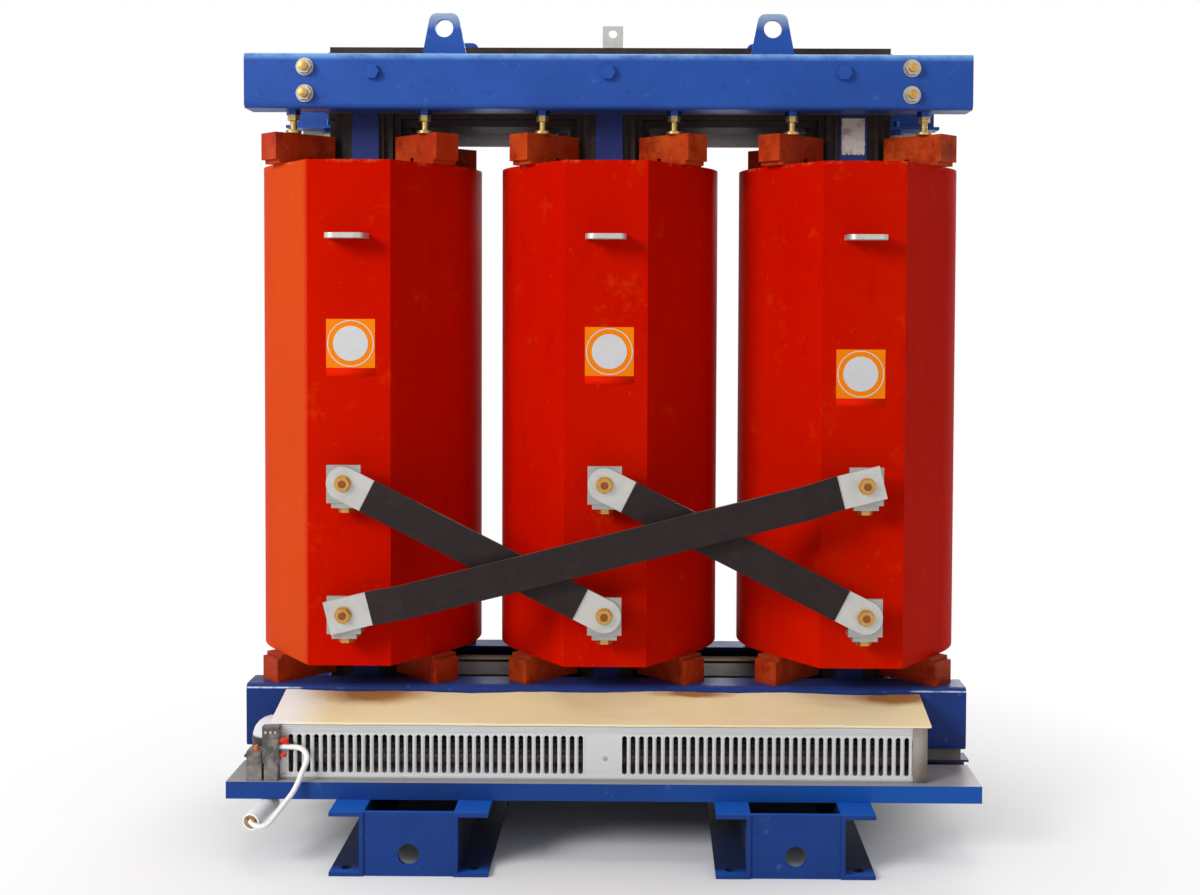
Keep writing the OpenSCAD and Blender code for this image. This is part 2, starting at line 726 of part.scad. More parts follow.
module delta_bars() color("#d5d3cd") for (link = delta_links) delta_bar(link);
module delta_sleeves() color("#1c1c1e") for (link = delta_links) delta_sleeve(link);

// Low-voltage side, at the rear

// Bar from the coil's top out under the clamp and up to a drilled terminal
module lv_phase_bars() color("#c7c4bd") at_limbs() difference() {
    foot_y = (lv_in_r + lv_r) / 2;
    along_x(phase_bar_w) {
        translate([foot_y - phase_bar_t, coil_top]) square([phase_bar_t, phase_bar_z - coil_top]);
        translate([foot_y - phase_bar_t, phase_bar_z])
            square([phase_bar_y + 2 * phase_bar_t - foot_y, phase_bar_t]);
        translate([phase_bar_y, phase_bar_z]) square([phase_bar_t, support_top - phase_bar_z]);
    }
    for (z = phase_hole_zs)
        translate([0, phase_bar_y - 1, z]) rotate([-90, 0, 0]) cylinder(d = lv_hole_d, h = phase_bar_t + 2);
}

// Angle on the rear clamp that reaches back to the phase bar
module lv_bar_supports() color("#2f55b5") at_limbs() along_x(bar_support_w) {
    translate([clamp_front_y - clamp_bend_r - bar_support_t, upper_clamp_top])
        square([bar_support_t, bar_support_h]);
    translate([clamp_front_y - clamp_bend_r - bar_support_t, support_top - bar_support_t])
        square([phase_bar_back + clamp_bend_r + bar_support_t, bar_support_t]);
}

// Flat bar along the rear clamp with a riser beside the limb bolt to the middle support
module lv_neutral_bar() color("#c7c4bd") translate([0, clamp_front_y + neutral_bar_t, 0])
    rotate([90, 0, 0]) linear_extrude(neutral_bar_t) union() {
        bar_l = clamp_l - 40;
        riser_x = 0.75 * bolt_flats;
        translate([-bar_l / 2, upper_clamp_z + clamp_bend_r - neutral_bar_h]) square([bar_l, neutral_bar_h]);
        translate([riser_x, upper_clamp_z]) square([neutral_plate_w, support_top - bar_support_t - upper_clamp_z]);
    }

// Small drilled angle on the middle support
module lv_neutral_terminal() color("#d5d3cd") difference() {
    y0 = clamp_front_y - clamp_bend_r;
    translate([0, y0, support_top]) along_x(neutral_plate_w) {
        square([neutral_bar_t, neutral_plate_h]);
        square([neutral_plate_foot, neutral_bar_t]);
    }
    translate([0, y0 - 1, neutral_hole_z]) rotate([-90, 0, 0]) cylinder(d = lv_hole_d, h = neutral_bar_t + 2);
}

// Cross-flow fans, drawn with the rear bottom edge of the housing on the X axis

function fan_top(y) = fan_front_h + fan_slope * (1 - y / fan_depth);

module fan_housing() {
    difference() {
        union() {
            translate([-fan_l / 2, -fan_depth, 0]) cube([fan_l, fan_depth, fan_sheet]);
            translate([-fan_l / 2, -fan_sheet, 0]) cube([fan_l, fan_sheet, fan_front_h]);
            for (x = [-fan_l / 2 + fan_end_t / 2, fan_l / 2 - fan_end_t / 2])
                translate([x, 0, 0]) along_x(fan_end_t)
                    polygon([[-fan_depth, 0], [0, 0], [0, fan_top(0)], [-fan_depth, fan_top(fan_depth)]]);
        }
        for (x = [-fan_l / 2, fan_l / 2 - fan_end_t]) translate([x - 1, -fan_axis_y, fan_axis_z])
            rotate([0, 90, 0]) cylinder(r = shaft_d / 2 + shaft_clearance, h = fan_end_t + 2);
    }
}

module fan_housings() color("#b9b6ae") front_and_rear_fan() fan_housing();

module grille() {
    w = fan_l - 2 * fan_end_t;
    translate([0, -fan_depth + grille_t, 0]) rotate([90, 0, 0]) linear_extrude(grille_t) difference() {
        translate([-w / 2, fan_sheet]) square([w, fan_front_h - fan_sheet]);
        for (side = [-1, 1], i = [0 : slots_per_side - 1])
            translate([side * (grille_plate_w / 2 + (i + 0.5) * slot_pitch) - slot_w / 2, slot_z])
                square([slot_w, slot_h]);
    }
}

module fan_grilles() color("#c4c1ba") front_and_rear_fan() grille();

// Loose board over the fan and the gap behind it, up to the clamp
module fan_covers() color("#d9b98c") front_and_rear_fan() along_x(fan_l) {
    front = fan_depth + cover_lip;
    back = cover_gap - fan_gap;
    polygon([
        [-front, fan_top(front)], [-back, fan_top(back)],
        [-back, fan_top(back) + cover_t], [-front, fan_top(front) + cover_t]
    ]);
}

module blade_ring() {
    for (i = [0 : blade_count - 1]) rotate(i * 360 / blade_count) polygon([
        [blade_inner_r, 0],
        [blade_outer_r * cos(blade_lean / 2), blade_outer_r * sin(blade_lean / 2) - blade_t / 2],
        [blade_outer_r * cos(blade_lean / 2) - blade_t, blade_outer_r * sin(blade_lean / 2)],
        [blade_inner_r, blade_t]
    ]);
}

// Two bladed drums on one shaft, along X
module impeller() {
    shaft_x0 = -fan_l / 2 - motor_shaft_depth;
    translate([0, -fan_axis_y, fan_axis_z]) {
        translate([shaft_x0, 0, 0]) rotate([0, 90, 0]) cylinder(d = shaft_d, h = fan_l / 2 - shaft_x0);
        for (x0 = [-drum_gap / 2 - drum_l, drum_gap / 2]) translate([x0, 0, 0]) rotate([0, 90, 0]) {
            linear_extrude(drum_l) blade_ring();
            for (i = [0 : drum_discs - 1]) translate([0, 0, i * (drum_l - disc_t) / (drum_discs - 1)])
                cylinder(d = impeller_d, h = disc_t);
        }
    }
}

module front_fan_impeller() color("#6f7173") translate([-fan_shift, -fan_rear_y, fan_z]) impeller();
module rear_fan_impeller() color("#6f7173") rotate(180) translate([-fan_shift, -fan_rear_y, fan_z]) impeller();

// Motor on the outside of the housing's left end, bored for the shaft
module fan_motor() {
    shield_h = 6;
    translate([-fan_l / 2, -fan_axis_y, fan_axis_z]) rotate([0, -90, 0]) difference() {
        union() {
            cylinder(d = motor_d, h = motor_l);
            translate([0, 0, motor_l]) cylinder(d = motor_d * 0.6, h = shield_h);
        }
        translate([0, 0, -1]) cylinder(r = shaft_d / 2 + shaft_clearance, h = motor_shaft_depth + 3);
    }
}

module fan_motors() color("#e4e2dc") front_and_rear_fan() fan_motor();

module fan_terminal_boxes() color("#6a6c6e") {
    corner_block(relay_box);
    corner_block(relay_foot);
    corner_block(side_box);
}

module fan_capacitor() color("#eceae4") {
    axis = capacitor_ends[1] - capacitor_ends[0];
    tilt = acos(axis.z / norm(axis));
    turn = atan2(axis.y, axis.x);
    translate(capacitor_ends[0]) rotate([0, tilt, turn]) cylinder(d = capacitor_d, h = norm(axis));
}

// Tube swept along the lead's points, each ring square to the path
function unit(v) = v / norm(v);
function lead_dir(i) = unit(lead_points[min(i + 1, len(lead_points) - 1)] - lead_points[max(i - 1, 0)]);
function lead_side(i) = unit(cross(lead_dir(i), [0.35, -0.4, 0.85]));

module capacitor_lead() color("#f2f1ee") {
    n = len(lead_points);
    ring = [for (i = [0 : n - 1], k = [0 : lead_sides - 1])
        let (a = k * 360 / lead_sides, u = lead_side(i), v = cross(lead_dir(i), u))
        lead_points[i] + lead_d / 2 * (u * cos(a) + v * sin(a))];
    walls = [for (i = [0 : n - 2], k = [0 : lead_sides - 1])
        let (next = (k + 1) % lead_sides)
        [i * lead_sides + k, (i + 1) * lead_sides + k, (i + 1) * lead_sides + next, i * lead_sides + next]];
    start_cap = [for (k = [0 : lead_sides - 1]) k];
    end_cap = [for (k = [lead_sides - 1 : -1 : 0]) (n - 1) * lead_sides + k];
    polyhedron(ring, concat([start_cap, end_cap], walls));
}

// Base

// Shallow shelf with two lips downwards that carries a fan
module fan_shelves() color("#2f55b5") front_and_rear() translate([0, 0, rail_z]) along_x(shelf_l) difference() {
    translate([shelf_back_y, 0]) square([shelf_front_y - shelf_back_y, rail_h]);
    translate([shelf_back_y + rail_t, -1]) square([shelf_front_y - shelf_back_y - 2 * rail_t, rail_h - rail_t + 1]);
}

// Channel open to the outside, under each clamp
module base_rails() color("#23304f") front_and_rear() translate([0, 0, rail_z]) along_x(clamp_l + 18) difference() {
    y1 = clamp_front_y - rail_setback;
    translate([y1 - rail_depth, 0]) square([rail_depth, rail_h]);
    translate([y1 - rail_depth + rail_t, rail_t]) square([rail_depth, rail_h - 2 * rail_t]);
}

module clamp_pads() color("#6e7073") front_and_rear() translate([0, 0, pad_z]) along_x(clamp_l - 12)
    translate([clamp_front_y - rail_setback - rail_depth, 0]) square([rail_depth, pad_h]);

// Right-hand channel of a foot, with floor bolt holes at both ends
module base_channel() {
    web_x = foot_web_w / 2 - base_t;
    hole_x = foot_web_w / 2 + base_flange / 2;
    difference() {
        rotate([90, 0, 0]) linear_extrude(2 * base_half_l, center = true) difference() {
            translate([web_x, 0]) square([base_t + base_flange, base_h]);
            translate([web_x + base_t, base_t]) square([base_flange + 1, base_h - 2 * base_t]);
        }
        for (y = [-floor_hole_y, floor_hole_y])
            translate([hole_x, y, -1]) cylinder(d = floor_hole_d, h = base_t + 2);
    }
}

module foot_channels(x) translate([x, 0, 0]) left_and_right() base_channel();

module left_base_channels() color("#2f55b5") foot_channels(foot_xs[0]);
module right_base_channels() color("#2f55b5") foot_channels(foot_xs[1]);

// Plates between the channel webs at the ends of the feet, with a haulage hole
module base_end_plates() color("#2f55b5") for (x = foot_xs) front_and_rear() {
    w = foot_web_w - 2 * base_t;
    translate([x, base_half_l - end_plate_setback, 0]) rotate([90, 0, 0]) linear_extrude(end_plate_t) difference() {
        translate([-w / 2, 0]) square([w, base_h]);
        translate([0, haul_hole_z]) circle(d = haul_hole_d);
    }
}

left_core_limb();
centre_core_limb();
right_core_limb();
upper_core_yoke();
lower_core_yoke();
tie_plates();
yoke_packers();
upper_front_clamp();
upper_rear_clamp();
lower_front_clamp();
lower_rear_clamp();
lifting_lugs();
clamp_tie_bolts();
limb_bolts();
left_hv_coil();
centre_hv_coil();
right_hv_coil();
left_lv_coil();
centre_lv_coil();
right_lv_coil();
upper_support_blocks();
lower_support_blocks();
press_bolts();
hv_line_terminals();
delta_tongues();
delta_brackets();
delta_bolts();
delta_bars();
delta_sleeves();
lv_phase_bars();
lv_neutral_bar();
lv_neutral_terminal();
lv_bar_supports();
fan_housings();
fan_grilles();
fan_covers();
front_fan_impeller();
rear_fan_impeller();
fan_motors();
fan_terminal_boxes();
fan_capacitor();
capacitor_lead();
fan_shelves();
base_rails();
clamp_pads();
left_base_channels();
right_base_channels();
base_end_plates();
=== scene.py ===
"""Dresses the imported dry-type transformer: camera, lead, materials, small details, floor and lights."""
import json
import math

import bmesh
import bpy
from mathutils import Matrix, Vector, noise


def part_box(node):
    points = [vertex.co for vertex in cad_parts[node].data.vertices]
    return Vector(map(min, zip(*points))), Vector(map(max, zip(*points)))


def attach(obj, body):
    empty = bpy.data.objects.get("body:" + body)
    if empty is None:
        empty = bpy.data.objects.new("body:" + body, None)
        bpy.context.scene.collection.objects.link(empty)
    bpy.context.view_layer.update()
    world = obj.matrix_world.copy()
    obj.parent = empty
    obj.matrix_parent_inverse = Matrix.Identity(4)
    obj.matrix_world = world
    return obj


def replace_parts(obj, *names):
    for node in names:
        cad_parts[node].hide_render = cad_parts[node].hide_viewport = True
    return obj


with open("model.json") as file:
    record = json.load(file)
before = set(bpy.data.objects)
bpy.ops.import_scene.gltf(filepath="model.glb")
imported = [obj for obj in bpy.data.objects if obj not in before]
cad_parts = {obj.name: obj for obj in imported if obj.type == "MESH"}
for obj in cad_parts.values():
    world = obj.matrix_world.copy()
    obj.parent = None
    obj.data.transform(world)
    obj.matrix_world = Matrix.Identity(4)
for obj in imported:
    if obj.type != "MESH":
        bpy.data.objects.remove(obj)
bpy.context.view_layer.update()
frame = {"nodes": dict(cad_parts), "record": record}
NODES = frame["nodes"]
BODY = "transformer"
MM = 0.001

LIMBS = ("left", "centre", "right")
COILS = {limb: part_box(f"{limb}_hv_coil") for limb in LIMBS}
LIMB_X = {limb: (low.x + high.x) / 2 for limb, (low, high) in COILS.items()}
FACET_Y = COILS["centre"][0].y
COIL_TOP = COILS["centre"][1].z
FAN_SIDES = ("front", "rear")


def new_object(name, data):
    made = bpy.data.objects.new(name, data)
    bpy.context.scene.collection.objects.link(made)
    return made


# Camera, fitted to the photograph: it looks down partly by lens shift and partly by a small tilt

PHOTO_W = 1200
FOCAL_PX = 1491
SENSOR_W = 36.0
CAMERA_AT = Vector((0.075, -2.9, 0.98))
CAMERA_TURN = math.radians(0.467)
CAMERA_TILT = math.radians(1.885)
CAMERA_ROLL = math.radians(0.24)
SHIFT_X = -0.03
SHIFT_Y = -0.08


def make_camera():
    data = bpy.data.cameras.new("camera")
    data.sensor_width = SENSOR_W
    data.lens = FOCAL_PX * SENSOR_W / PHOTO_W
    data.shift_x = SHIFT_X
    data.shift_y = SHIFT_Y
    camera = new_object("camera", data)
    level = math.pi / 2
    aim = Matrix.Rotation(CAMERA_TURN, 4, "Z") @ Matrix.Rotation(level - CAMERA_TILT, 4, "X")
    camera.matrix_world = Matrix.Translation(CAMERA_AT) @ aim @ Matrix.Rotation(CAMERA_ROLL, 4, "Z")
    bpy.context.scene.camera = camera


make_camera()


# Materials

class Paint:
    """A Principled material with short calls for the nodes that vary it."""

    def __init__(self, name, colour, roughness=0.5, metallic=0.0, specular=0.4, sheen=(1, 1, 1)):
        self.material = bpy.data.materials.new(name)
        self.material.use_nodes = True
        self.tree = self.material.node_tree
        self.shader = self.tree.nodes["Principled BSDF"]
        self.set("Base Color", (*colour, 1))
        self.set("Roughness", roughness)
        self.set("Metallic", metallic)
        self.set("Specular IOR Level", specular)
        self.set("Specular Tint", (*sheen, 1))
        self.place = self.node("TexCoord").outputs["Object"]

    @classmethod
    def over(cls, material):
        """Goes on painting a finished material."""
        paint = cls.__new__(cls)
        paint.material = material
        paint.tree = material.node_tree
        paint.shader = paint.tree.nodes["Principled BSDF"]
        paint.place = paint.node("TexCoord").outputs["Object"]
        return paint

    def node(self, kind, values=None, **settings):
        """New shader node, with values for its inputs by name or number."""
        made = self.tree.nodes.new("ShaderNode" + kind)
        for key, value in settings.items():
            setattr(made, key, value)
        for socket, value in (values or {}).items():
            made.inputs[socket].default_value = value
        return made

    def set(self, socket, value):
        self.shader.inputs[socket].default_value = value

    def join(self, output, target):
        self.tree.links.new(output, target)

    def stretched(self, scale):
        mapping = self.node("Mapping", {"Scale": scale})
        self.join(self.place, mapping.inputs["Vector"])
        return mapping.outputs["Vector"]

    def noise(self, scale, detail=4.0, rough=0.6, stretch=None):
        made = self.node("TexNoise", {"Scale": scale, "Detail": detail, "Roughness": rough})
        self.join(self.stretched(stretch) if stretch else self.place, made.inputs["Vector"])
        return made.outputs["Fac"]

    def waves(self, scale, direction, distortion=0.0, detail=2.0):
        values = {"Scale": scale, "Distortion": distortion, "Detail": detail}
        made = self.node("TexWave", values, bands_direction=direction)
        self.join(self.place, made.inputs["Vector"])
        return made.outputs["Fac"]

    def band(self, value, low, high):
        """0 below low, 1 above high."""
        made = self.node("MapRange", {"From Min": low, "From Max": high}, clamp=True)
        self.join(value, made.inputs["Value"])
        return made.outputs["Result"]

    def times(self, a, b):
        made = self.node("Math", operation="MULTIPLY")
        for value, target in ((a, made.inputs[0]), (b, made.inputs[1])):
            if isinstance(value, (int, float)):
                target.default_value = value
            else:
                self.join(value, target)
        return made.outputs[0]

    def axis(self, source, name):
        split = self.node("SeparateXYZ")
        self.join(source, split.inputs[0])
        return split.outputs[name]

    def height(self, low, high):
        """0 below the height low, 1 above high; the other way round where high is the lower one."""
        return self.band(self.axis(self.place, "Z"), low, high)

    def outward(self, low, high):
        """0 near the middle of the transformer's length, 1 towards both ends."""
        made = self.node("Math", operation="ABSOLUTE")
        self.join(self.axis(self.place, "X"), made.inputs[0])
        return self.band(made.outputs[0], low, high)

    def spot(self, centre, radii, ragged=0.5):
        """1 inside an ellipse in plan, with an uneven rim."""
        (x, y), (rx, ry) = centre, radii
        mapping = self.node("Mapping", {"Location": (-x / rx, -y / ry, 0), "Scale": (1 / rx, 1 / ry, 0)})
        self.join(self.place, mapping.inputs["Vector"])
        length = self.node("VectorMath", operation="LENGTH")
        self.join(mapping.outputs["Vector"], length.inputs[0])
        rim = self.node("Math", {1: ragged}, operation="MULTIPLY_ADD")
        self.join(self.noise(scale=30, detail=5), rim.inputs[0])
        self.join(length.outputs["Value"], rim.inputs[2])
        return self.band(rim.outputs[0], 1 + 0.5 * ragged, 0.6 + 0.5 * ragged)

    def tint(self, factor, colour):
        """Mixes a colour over what the base colour is so far."""
        mix = self.node("Mix", data_type="RGBA")
        target = self.shader.inputs["Base Color"]
        if target.links:
            self.join(target.links[0].from_socket, mix.inputs["A"])
        else:
            mix.inputs["A"].default_value = target.default_value
        mix.inputs["B"].default_value = (*colour, 1)
        self.join(factor, mix.inputs["Factor"])
        self.join(mix.outputs["Result"], target)

    def patches(self, colour, limits, mix, **look):
        """Tints where a noise is above the first limit, in full above the second."""
        self.tint(self.times(self.band(self.noise(**look), *limits), mix), colour)

    def on_top(self, colour, mix, limits=(0.6, 0.95)):
        """Tints the faces that look up."""
        up = self.axis(self.node("NewGeometry").outputs["Normal"], "Z")
        self.tint(self.times(self.band(up, *limits), mix), colour)

    def gloss(self, limits, **look):
        """Roughness that wanders between two values with a noise."""
        made = self.node("MapRange", {"To Min": limits[0], "To Max": limits[1]}, clamp=True)
        self.join(self.noise(**look), made.inputs["Value"])
        self.join(made.outputs["Result"], self.shader.inputs["Roughness"])

    def grain(self, depth, strength, **look):
        """Bumps of a noise."""
        self.bump(self.noise(**look), depth, strength)

    def bump(self, height, distance, strength):
        made = self.node("Bump", {"Strength": strength, "Distance": distance})
        self.join(height, made.inputs["Height"])
        target = self.shader.inputs["Normal"]
        if target.links:
            self.join(target.links[0].from_socket, made.inputs["Normal"])
        self.join(made.outputs["Normal"], target)


DUST = (0.36, 0.33, 0.30)
GRIME = (0.035, 0.028, 0.024)
RUST = (0.20, 0.075, 0.03)
# Colour of the painted shade in the recesses of the feet
RECESS_SHADE = (0.010, 0.007, 0.009)
BLUE = (0.020, 0.078, 0.36)
# Painted light: lit blue laid on the upward faces of the feet
SUNLIT_TOP_BLUE = (0.010, 0.105, 0.50)
# Colour of the painted highlight along the clamps' top corner
EDGE_HIGHLIGHT_BLUE = (0.14, 0.33, 0.66)
PALE_BLUE = (0.40, 0.50, 0.60)
# Colour of the painted highlight line on the lower clamps' ends
HIGHLIGHT_LINE_BLUE = (0.50, 0.63, 0.82)
# How far under a clamp's top its corner gets a painted highlight: it begins at the first and is full at the
# second
EDGE_HIGHLIGHT_BAND = (0.014, 0.006)
# The shelf's paint is brighter from the first x to the second
BRIGHTER_X = (0.0, 0.5)
# Painted shade in the recesses of the feet: none further out than the first y, full inside the second, and
# only below this height
RECESS_SHADE_Y = (0.384, 0.362)
RECESS_SHADE_TOP = 0.103
# Painted light on the outer side of the left coil, more towards the front: none at the first, full at the
# second
LIT_SIDE_X = (LIMB_X["left"] - 0.074, LIMB_X["left"] - 0.084)
LIT_SIDE_Y = (0.02, -0.13)
# The coils' top edge gets a patchy painted highlight over this range under the top
COIL_EDGE_HIGHLIGHT = (0.007, 0.003)
# The press bolts' nuts are painted above this range under the clamp
PAINTED_NUT = (0.0093, 0.0088)
# The lugs turn paler over this height under their top
LUG_PALE_SPAN = 0.030
# Painted highlight line on the lower clamps: its lower and upper rim under the top, and how far out along x it
# begins
LINE_LOW = (0.0085, 0.0075)
LINE_HIGH = (0.0050, 0.0060)
LINE_X = (0.555, 0.57)
# The front cover is paler at its left end, between these values of x
PALE_END_X = (-0.49, -0.56)
# Brown patches on the front cover: centre and radii in plan, in metres, and the size of each one's dark middle
BROWN_PATCHES = (
    ((-0.425, -0.203), (0.125, 0.046)),
    ((0.53, -0.202), (0.120, 0.036)),
    ((0.16, -0.198), (0.09, 0.018)),
)
PATCH_MIDDLE = (0.6, 0.75)
# The terminal boxes are paler below this range of heights
BOX_FOOT = (0.175, 0.165)


def shade(colour, factor):
    return tuple(c * factor for c in colour)


def blue_paint(name="blue_paint", colour=BLUE, top_mix=0.3, edge=None, top=DUST, bright=None, shaded_recess=False):
    """Brushed enamel with darker patches and small chips.

    The colour top lies on the faces that look up, at the strength given after the colour: a dusting by
    default, and on the feet a sunlit blue that is painted light. The corner just under the height edge
    gets a patchy painted highlight. Towards +x the paint may be brighter, in the colour bright. Where
    the recess shading is on, the recesses of the feet get painted shade.
    """
    p = Paint(name, colour, roughness=0.38, specular=0.16)
    p.patches(shade(colour, 0.5), (0.35, 0.7), mix=0.5, scale=5, detail=6)
    p.patches(shade(colour, 0.35), (0.60, 0.72), mix=0.35, scale=60, detail=4)
    p.patches((0.075, 0.16, 0.44), (0.62, 0.70), mix=0.4, scale=38, detail=6, rough=0.7)
    p.patches(GRIME, (0.68, 0.72), mix=0.55, scale=120, detail=5, rough=0.7)
    # Painted highlight along the top corner, broken up by a noise
    if edge:
        patchy = p.band(p.noise(scale=18, detail=5, rough=0.7), 0.25, 0.55)
        edge_highlight = p.times(p.height(*(edge - under for under in EDGE_HIGHLIGHT_BAND)), patchy)
        p.tint(p.times(edge_highlight, 0.85), EDGE_HIGHLIGHT_BLUE)
    if bright:
        p.tint(p.times(p.band(p.axis(p.place, "X"), *BRIGHTER_X), 0.8), bright)
    # Tint on the upward faces: a dusting by default, painted light on the feet
    p.on_top(top, mix=top_mix)
    # Painted shade: darkens the recesses of the feet between their flanges
    if shaded_recess:
        along = p.axis(p.place, "Y")
        inside = p.times(p.band(along, -RECESS_SHADE_Y[0], -RECESS_SHADE_Y[1]), p.band(along, *RECESS_SHADE_Y))
        p.tint(p.times(p.times(inside, p.height(RECESS_SHADE_TOP, RECESS_SHADE_TOP - 3 * MM)), 0.85), RECESS_SHADE)
    p.gloss((0.26, 0.55), scale=14, detail=5)
    p.grain(depth=0.0006, strength=0.35, scale=420, detail=2)
    p.grain(depth=0.0014, strength=0.4, scale=24, detail=3)
    return p.material


def coil_resin():
    """Glossy red casting resin: cloudy, with painted light on one side and a patchy painted highlight along
    the top edge.
    """
    p = Paint("coil_resin", (0.47, 0.003, 0.0), roughness=0.40, specular=0.02, sheen=(1.0, 0.30, 0.04))
    p.patches((0.56, 0.012, 0.0), (0.3, 0.75), mix=0.6, scale=3.2, detail=5, stretch=(1, 1, 0.35))
    p.patches((0.33, 0.001, 0.0), (0.56, 0.75), mix=0.4,
              scale=26, detail=5, rough=0.65, stretch=(1, 1, 0.5))
    p.patches((0.60, 0.050, 0.003), (0.60, 0.72), mix=0.4, scale=14, detail=6, rough=0.7)
    p.patches((0.62, 0.07, 0.01), (0.68, 0.74), mix=0.3, scale=90, detail=3)
    # Painted light: orange glow on the left coil's outer side
    lit_side = p.times(p.band(p.axis(p.place, "X"), *LIT_SIDE_X), p.band(p.axis(p.place, "Y"), *LIT_SIDE_Y))
    p.tint(p.times(lit_side, 0.5), (0.58, 0.095, 0.008))
    # Painted highlight along the coils' top edge, broken up by a noise
    patchy = p.band(p.noise(scale=35, detail=5, rough=0.7), 0.52, 0.62)
    edge_highlight = p.times(p.height(*(COIL_TOP - under for under in COIL_EDGE_HIGHLIGHT)), patchy)
    p.tint(p.times(edge_highlight, 0.22), (0.72, 0.26, 0.12))
    p.on_top((0.34, 0.08, 0.05), mix=0.55)
    p.gloss((0.42, 0.60), scale=9, detail=5)
    p.grain(depth=0.0008, strength=0.25, scale=150, detail=3)
    p.grain(depth=0.004, strength=0.3, scale=7, detail=3, stretch=(1, 1, 0.4))
    return p.material


def inner_resin():
    """Dull brown-red resin of the inner coils, with the turns showing."""
    p = Paint("inner_resin", (0.22, 0.030, 0.012), roughness=0.55, specular=0.25)
    p.patches((0.10, 0.020, 0.010), (0.4, 0.7), mix=0.6, scale=18, detail=5)
    p.on_top((0.20, 0.13, 0.10), mix=0.5)
    p.bump(p.waves(scale=60, direction="Z", distortion=1.5), distance=0.0008, strength=0.5)
    return p.material


def block_resin(name="block_resin", depth=1.0):
    """Cast resin block with lighter and darker cloudy patches; a depth under 1 darkens it as painted shade."""
    p = Paint(name, shade((0.38, 0.026, 0.005), depth), roughness=0.42, specular=0.12, sheen=(1.0, 0.45, 0.2))
    p.patches(shade((0.50, 0.080, 0.012), depth), (0.42, 0.66), mix=0.7, scale=9, detail=6, rough=0.7)
    p.patches(shade((0.18, 0.009, 0.003), depth), (0.5, 0.62), mix=0.65, scale=22, detail=6, rough=0.75)
    p.patches(shade((0.55, 0.15, 0.06), depth), (0.64, 0.72), mix=0.5, scale=70, detail=4)
    p.on_top(shade((0.34, 0.15, 0.10), depth), mix=0.3)
    p.gloss((0.3, 0.6), scale=30, detail=4)
    p.grain(depth=0.001, strength=0.4, scale=120, detail=3)
    return p.material


def core_steel():
    """Dark laminations, darkened further as painted shade, with rust and fine lines between the sheets."""
    p = Paint("core_steel", (0.050, 0.040, 0.037), roughness=0.6, metallic=0.1, specular=0.08)
    p.patches((0.022, 0.017, 0.017), (0.42, 0.68), mix=0.75, scale=7, detail=6, rough=0.7)
    p.patches(RUST, (0.56, 0.72), mix=0.6, scale=30, detail=6, rough=0.75)
    p.tint(p.times(p.waves(scale=170, direction="Y", distortion=0.6), 0.35), GRIME)
    p.on_top(DUST, mix=0.35)
    p.gloss((0.4, 0.7), scale=40, detail=4)
    p.bump(p.waves(scale=170, direction="Y", distortion=0.6), distance=0.0012, strength=0.7)
    return p.material


def packing_board():
    """Brown pressboard with a grain along x."""
    p = Paint("packing_board", (0.20, 0.15, 0.09), roughness=0.7)
    p.patches((0.10, 0.07, 0.04), (0.4, 0.7), mix=0.7, scale=20, detail=6, stretch=(0.15, 1, 1))
    p.grain(depth=0.001, strength=0.5, scale=160, detail=4, stretch=(0.1, 1, 1))
    return p.material


def plated(name, colour, stain, roughness=0.32):
    """Plated steel, stained in patches."""
    p = Paint(name, colour, roughness=roughness, metallic=0.9)
    p.patches(stain, (0.5, 0.72), mix=0.6, scale=55, detail=5, rough=0.7)
    p.gloss((roughness - 0.08, roughness + 0.2), scale=120, detail=3)
    p.grain(depth=0.0004, strength=0.4, scale=500, detail=3)
    return p.material


def press_bolt_metal():
    """Brass-coloured bolts whose upper nut is painted with the clamp."""
    clamp_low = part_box("upper_front_clamp")[0].z
    p = Paint("press_bolt_metal", (0.50, 0.36, 0.13), roughness=0.32, metallic=0.85)
    p.patches((0.20, 0.13, 0.06), (0.5, 0.7), mix=0.5, scale=80, detail=4)
    p.tint(p.height(*(clamp_low - under for under in PAINTED_NUT)), (0.028, 0.07, 0.30))
    p.bump(p.waves(scale=110, direction="Z"), distance=0.0008, strength=0.5)
    return p.material


def terminal_metal(name="terminal_metal", colour=(0.52, 0.51, 0.485)):
    """Tinned copper: a streaky grey with darker handling marks."""
    p = Paint(name, colour, roughness=0.36, metallic=0.6)
    p.patches(shade(colour, 0.64), (0.45, 0.75), mix=0.5, scale=24, detail=5, rough=0.65)
    p.patches(shade(colour, 0.48), (0.62, 0.74), mix=0.35, scale=140, detail=4)
    p.gloss((0.28, 0.5), scale=60, detail=4, stretch=(1, 1, 0.1))
    p.grain(depth=0.0005, strength=0.35, scale=300, detail=3, stretch=(0.15, 1, 1))
    return p.material


def black_sleeve():
    """Shrunk black sleeve, lumpy and a little dusty."""
    p = Paint("black_sleeve", (0.017, 0.010, 0.0105), roughness=0.5, specular=0.15)
    p.patches((0.030, 0.018, 0.019), (0.45, 0.7), mix=0.5, scale=30, detail=5)
    p.on_top((0.09, 0.075, 0.075), mix=0.5, limits=(0.2, 0.9))
    p.patches((0.055, 0.042, 0.042), (0.58, 0.70), mix=0.35, scale=260, detail=5, rough=0.7)
    p.gloss((0.4, 0.62), scale=45, detail=4)
    p.grain(depth=0.0030, strength=0.6, scale=38, detail=4, stretch=(1, 1, 1.6))
    p.grain(depth=0.0004, strength=0.4, scale=400, detail=2)
    return p.material


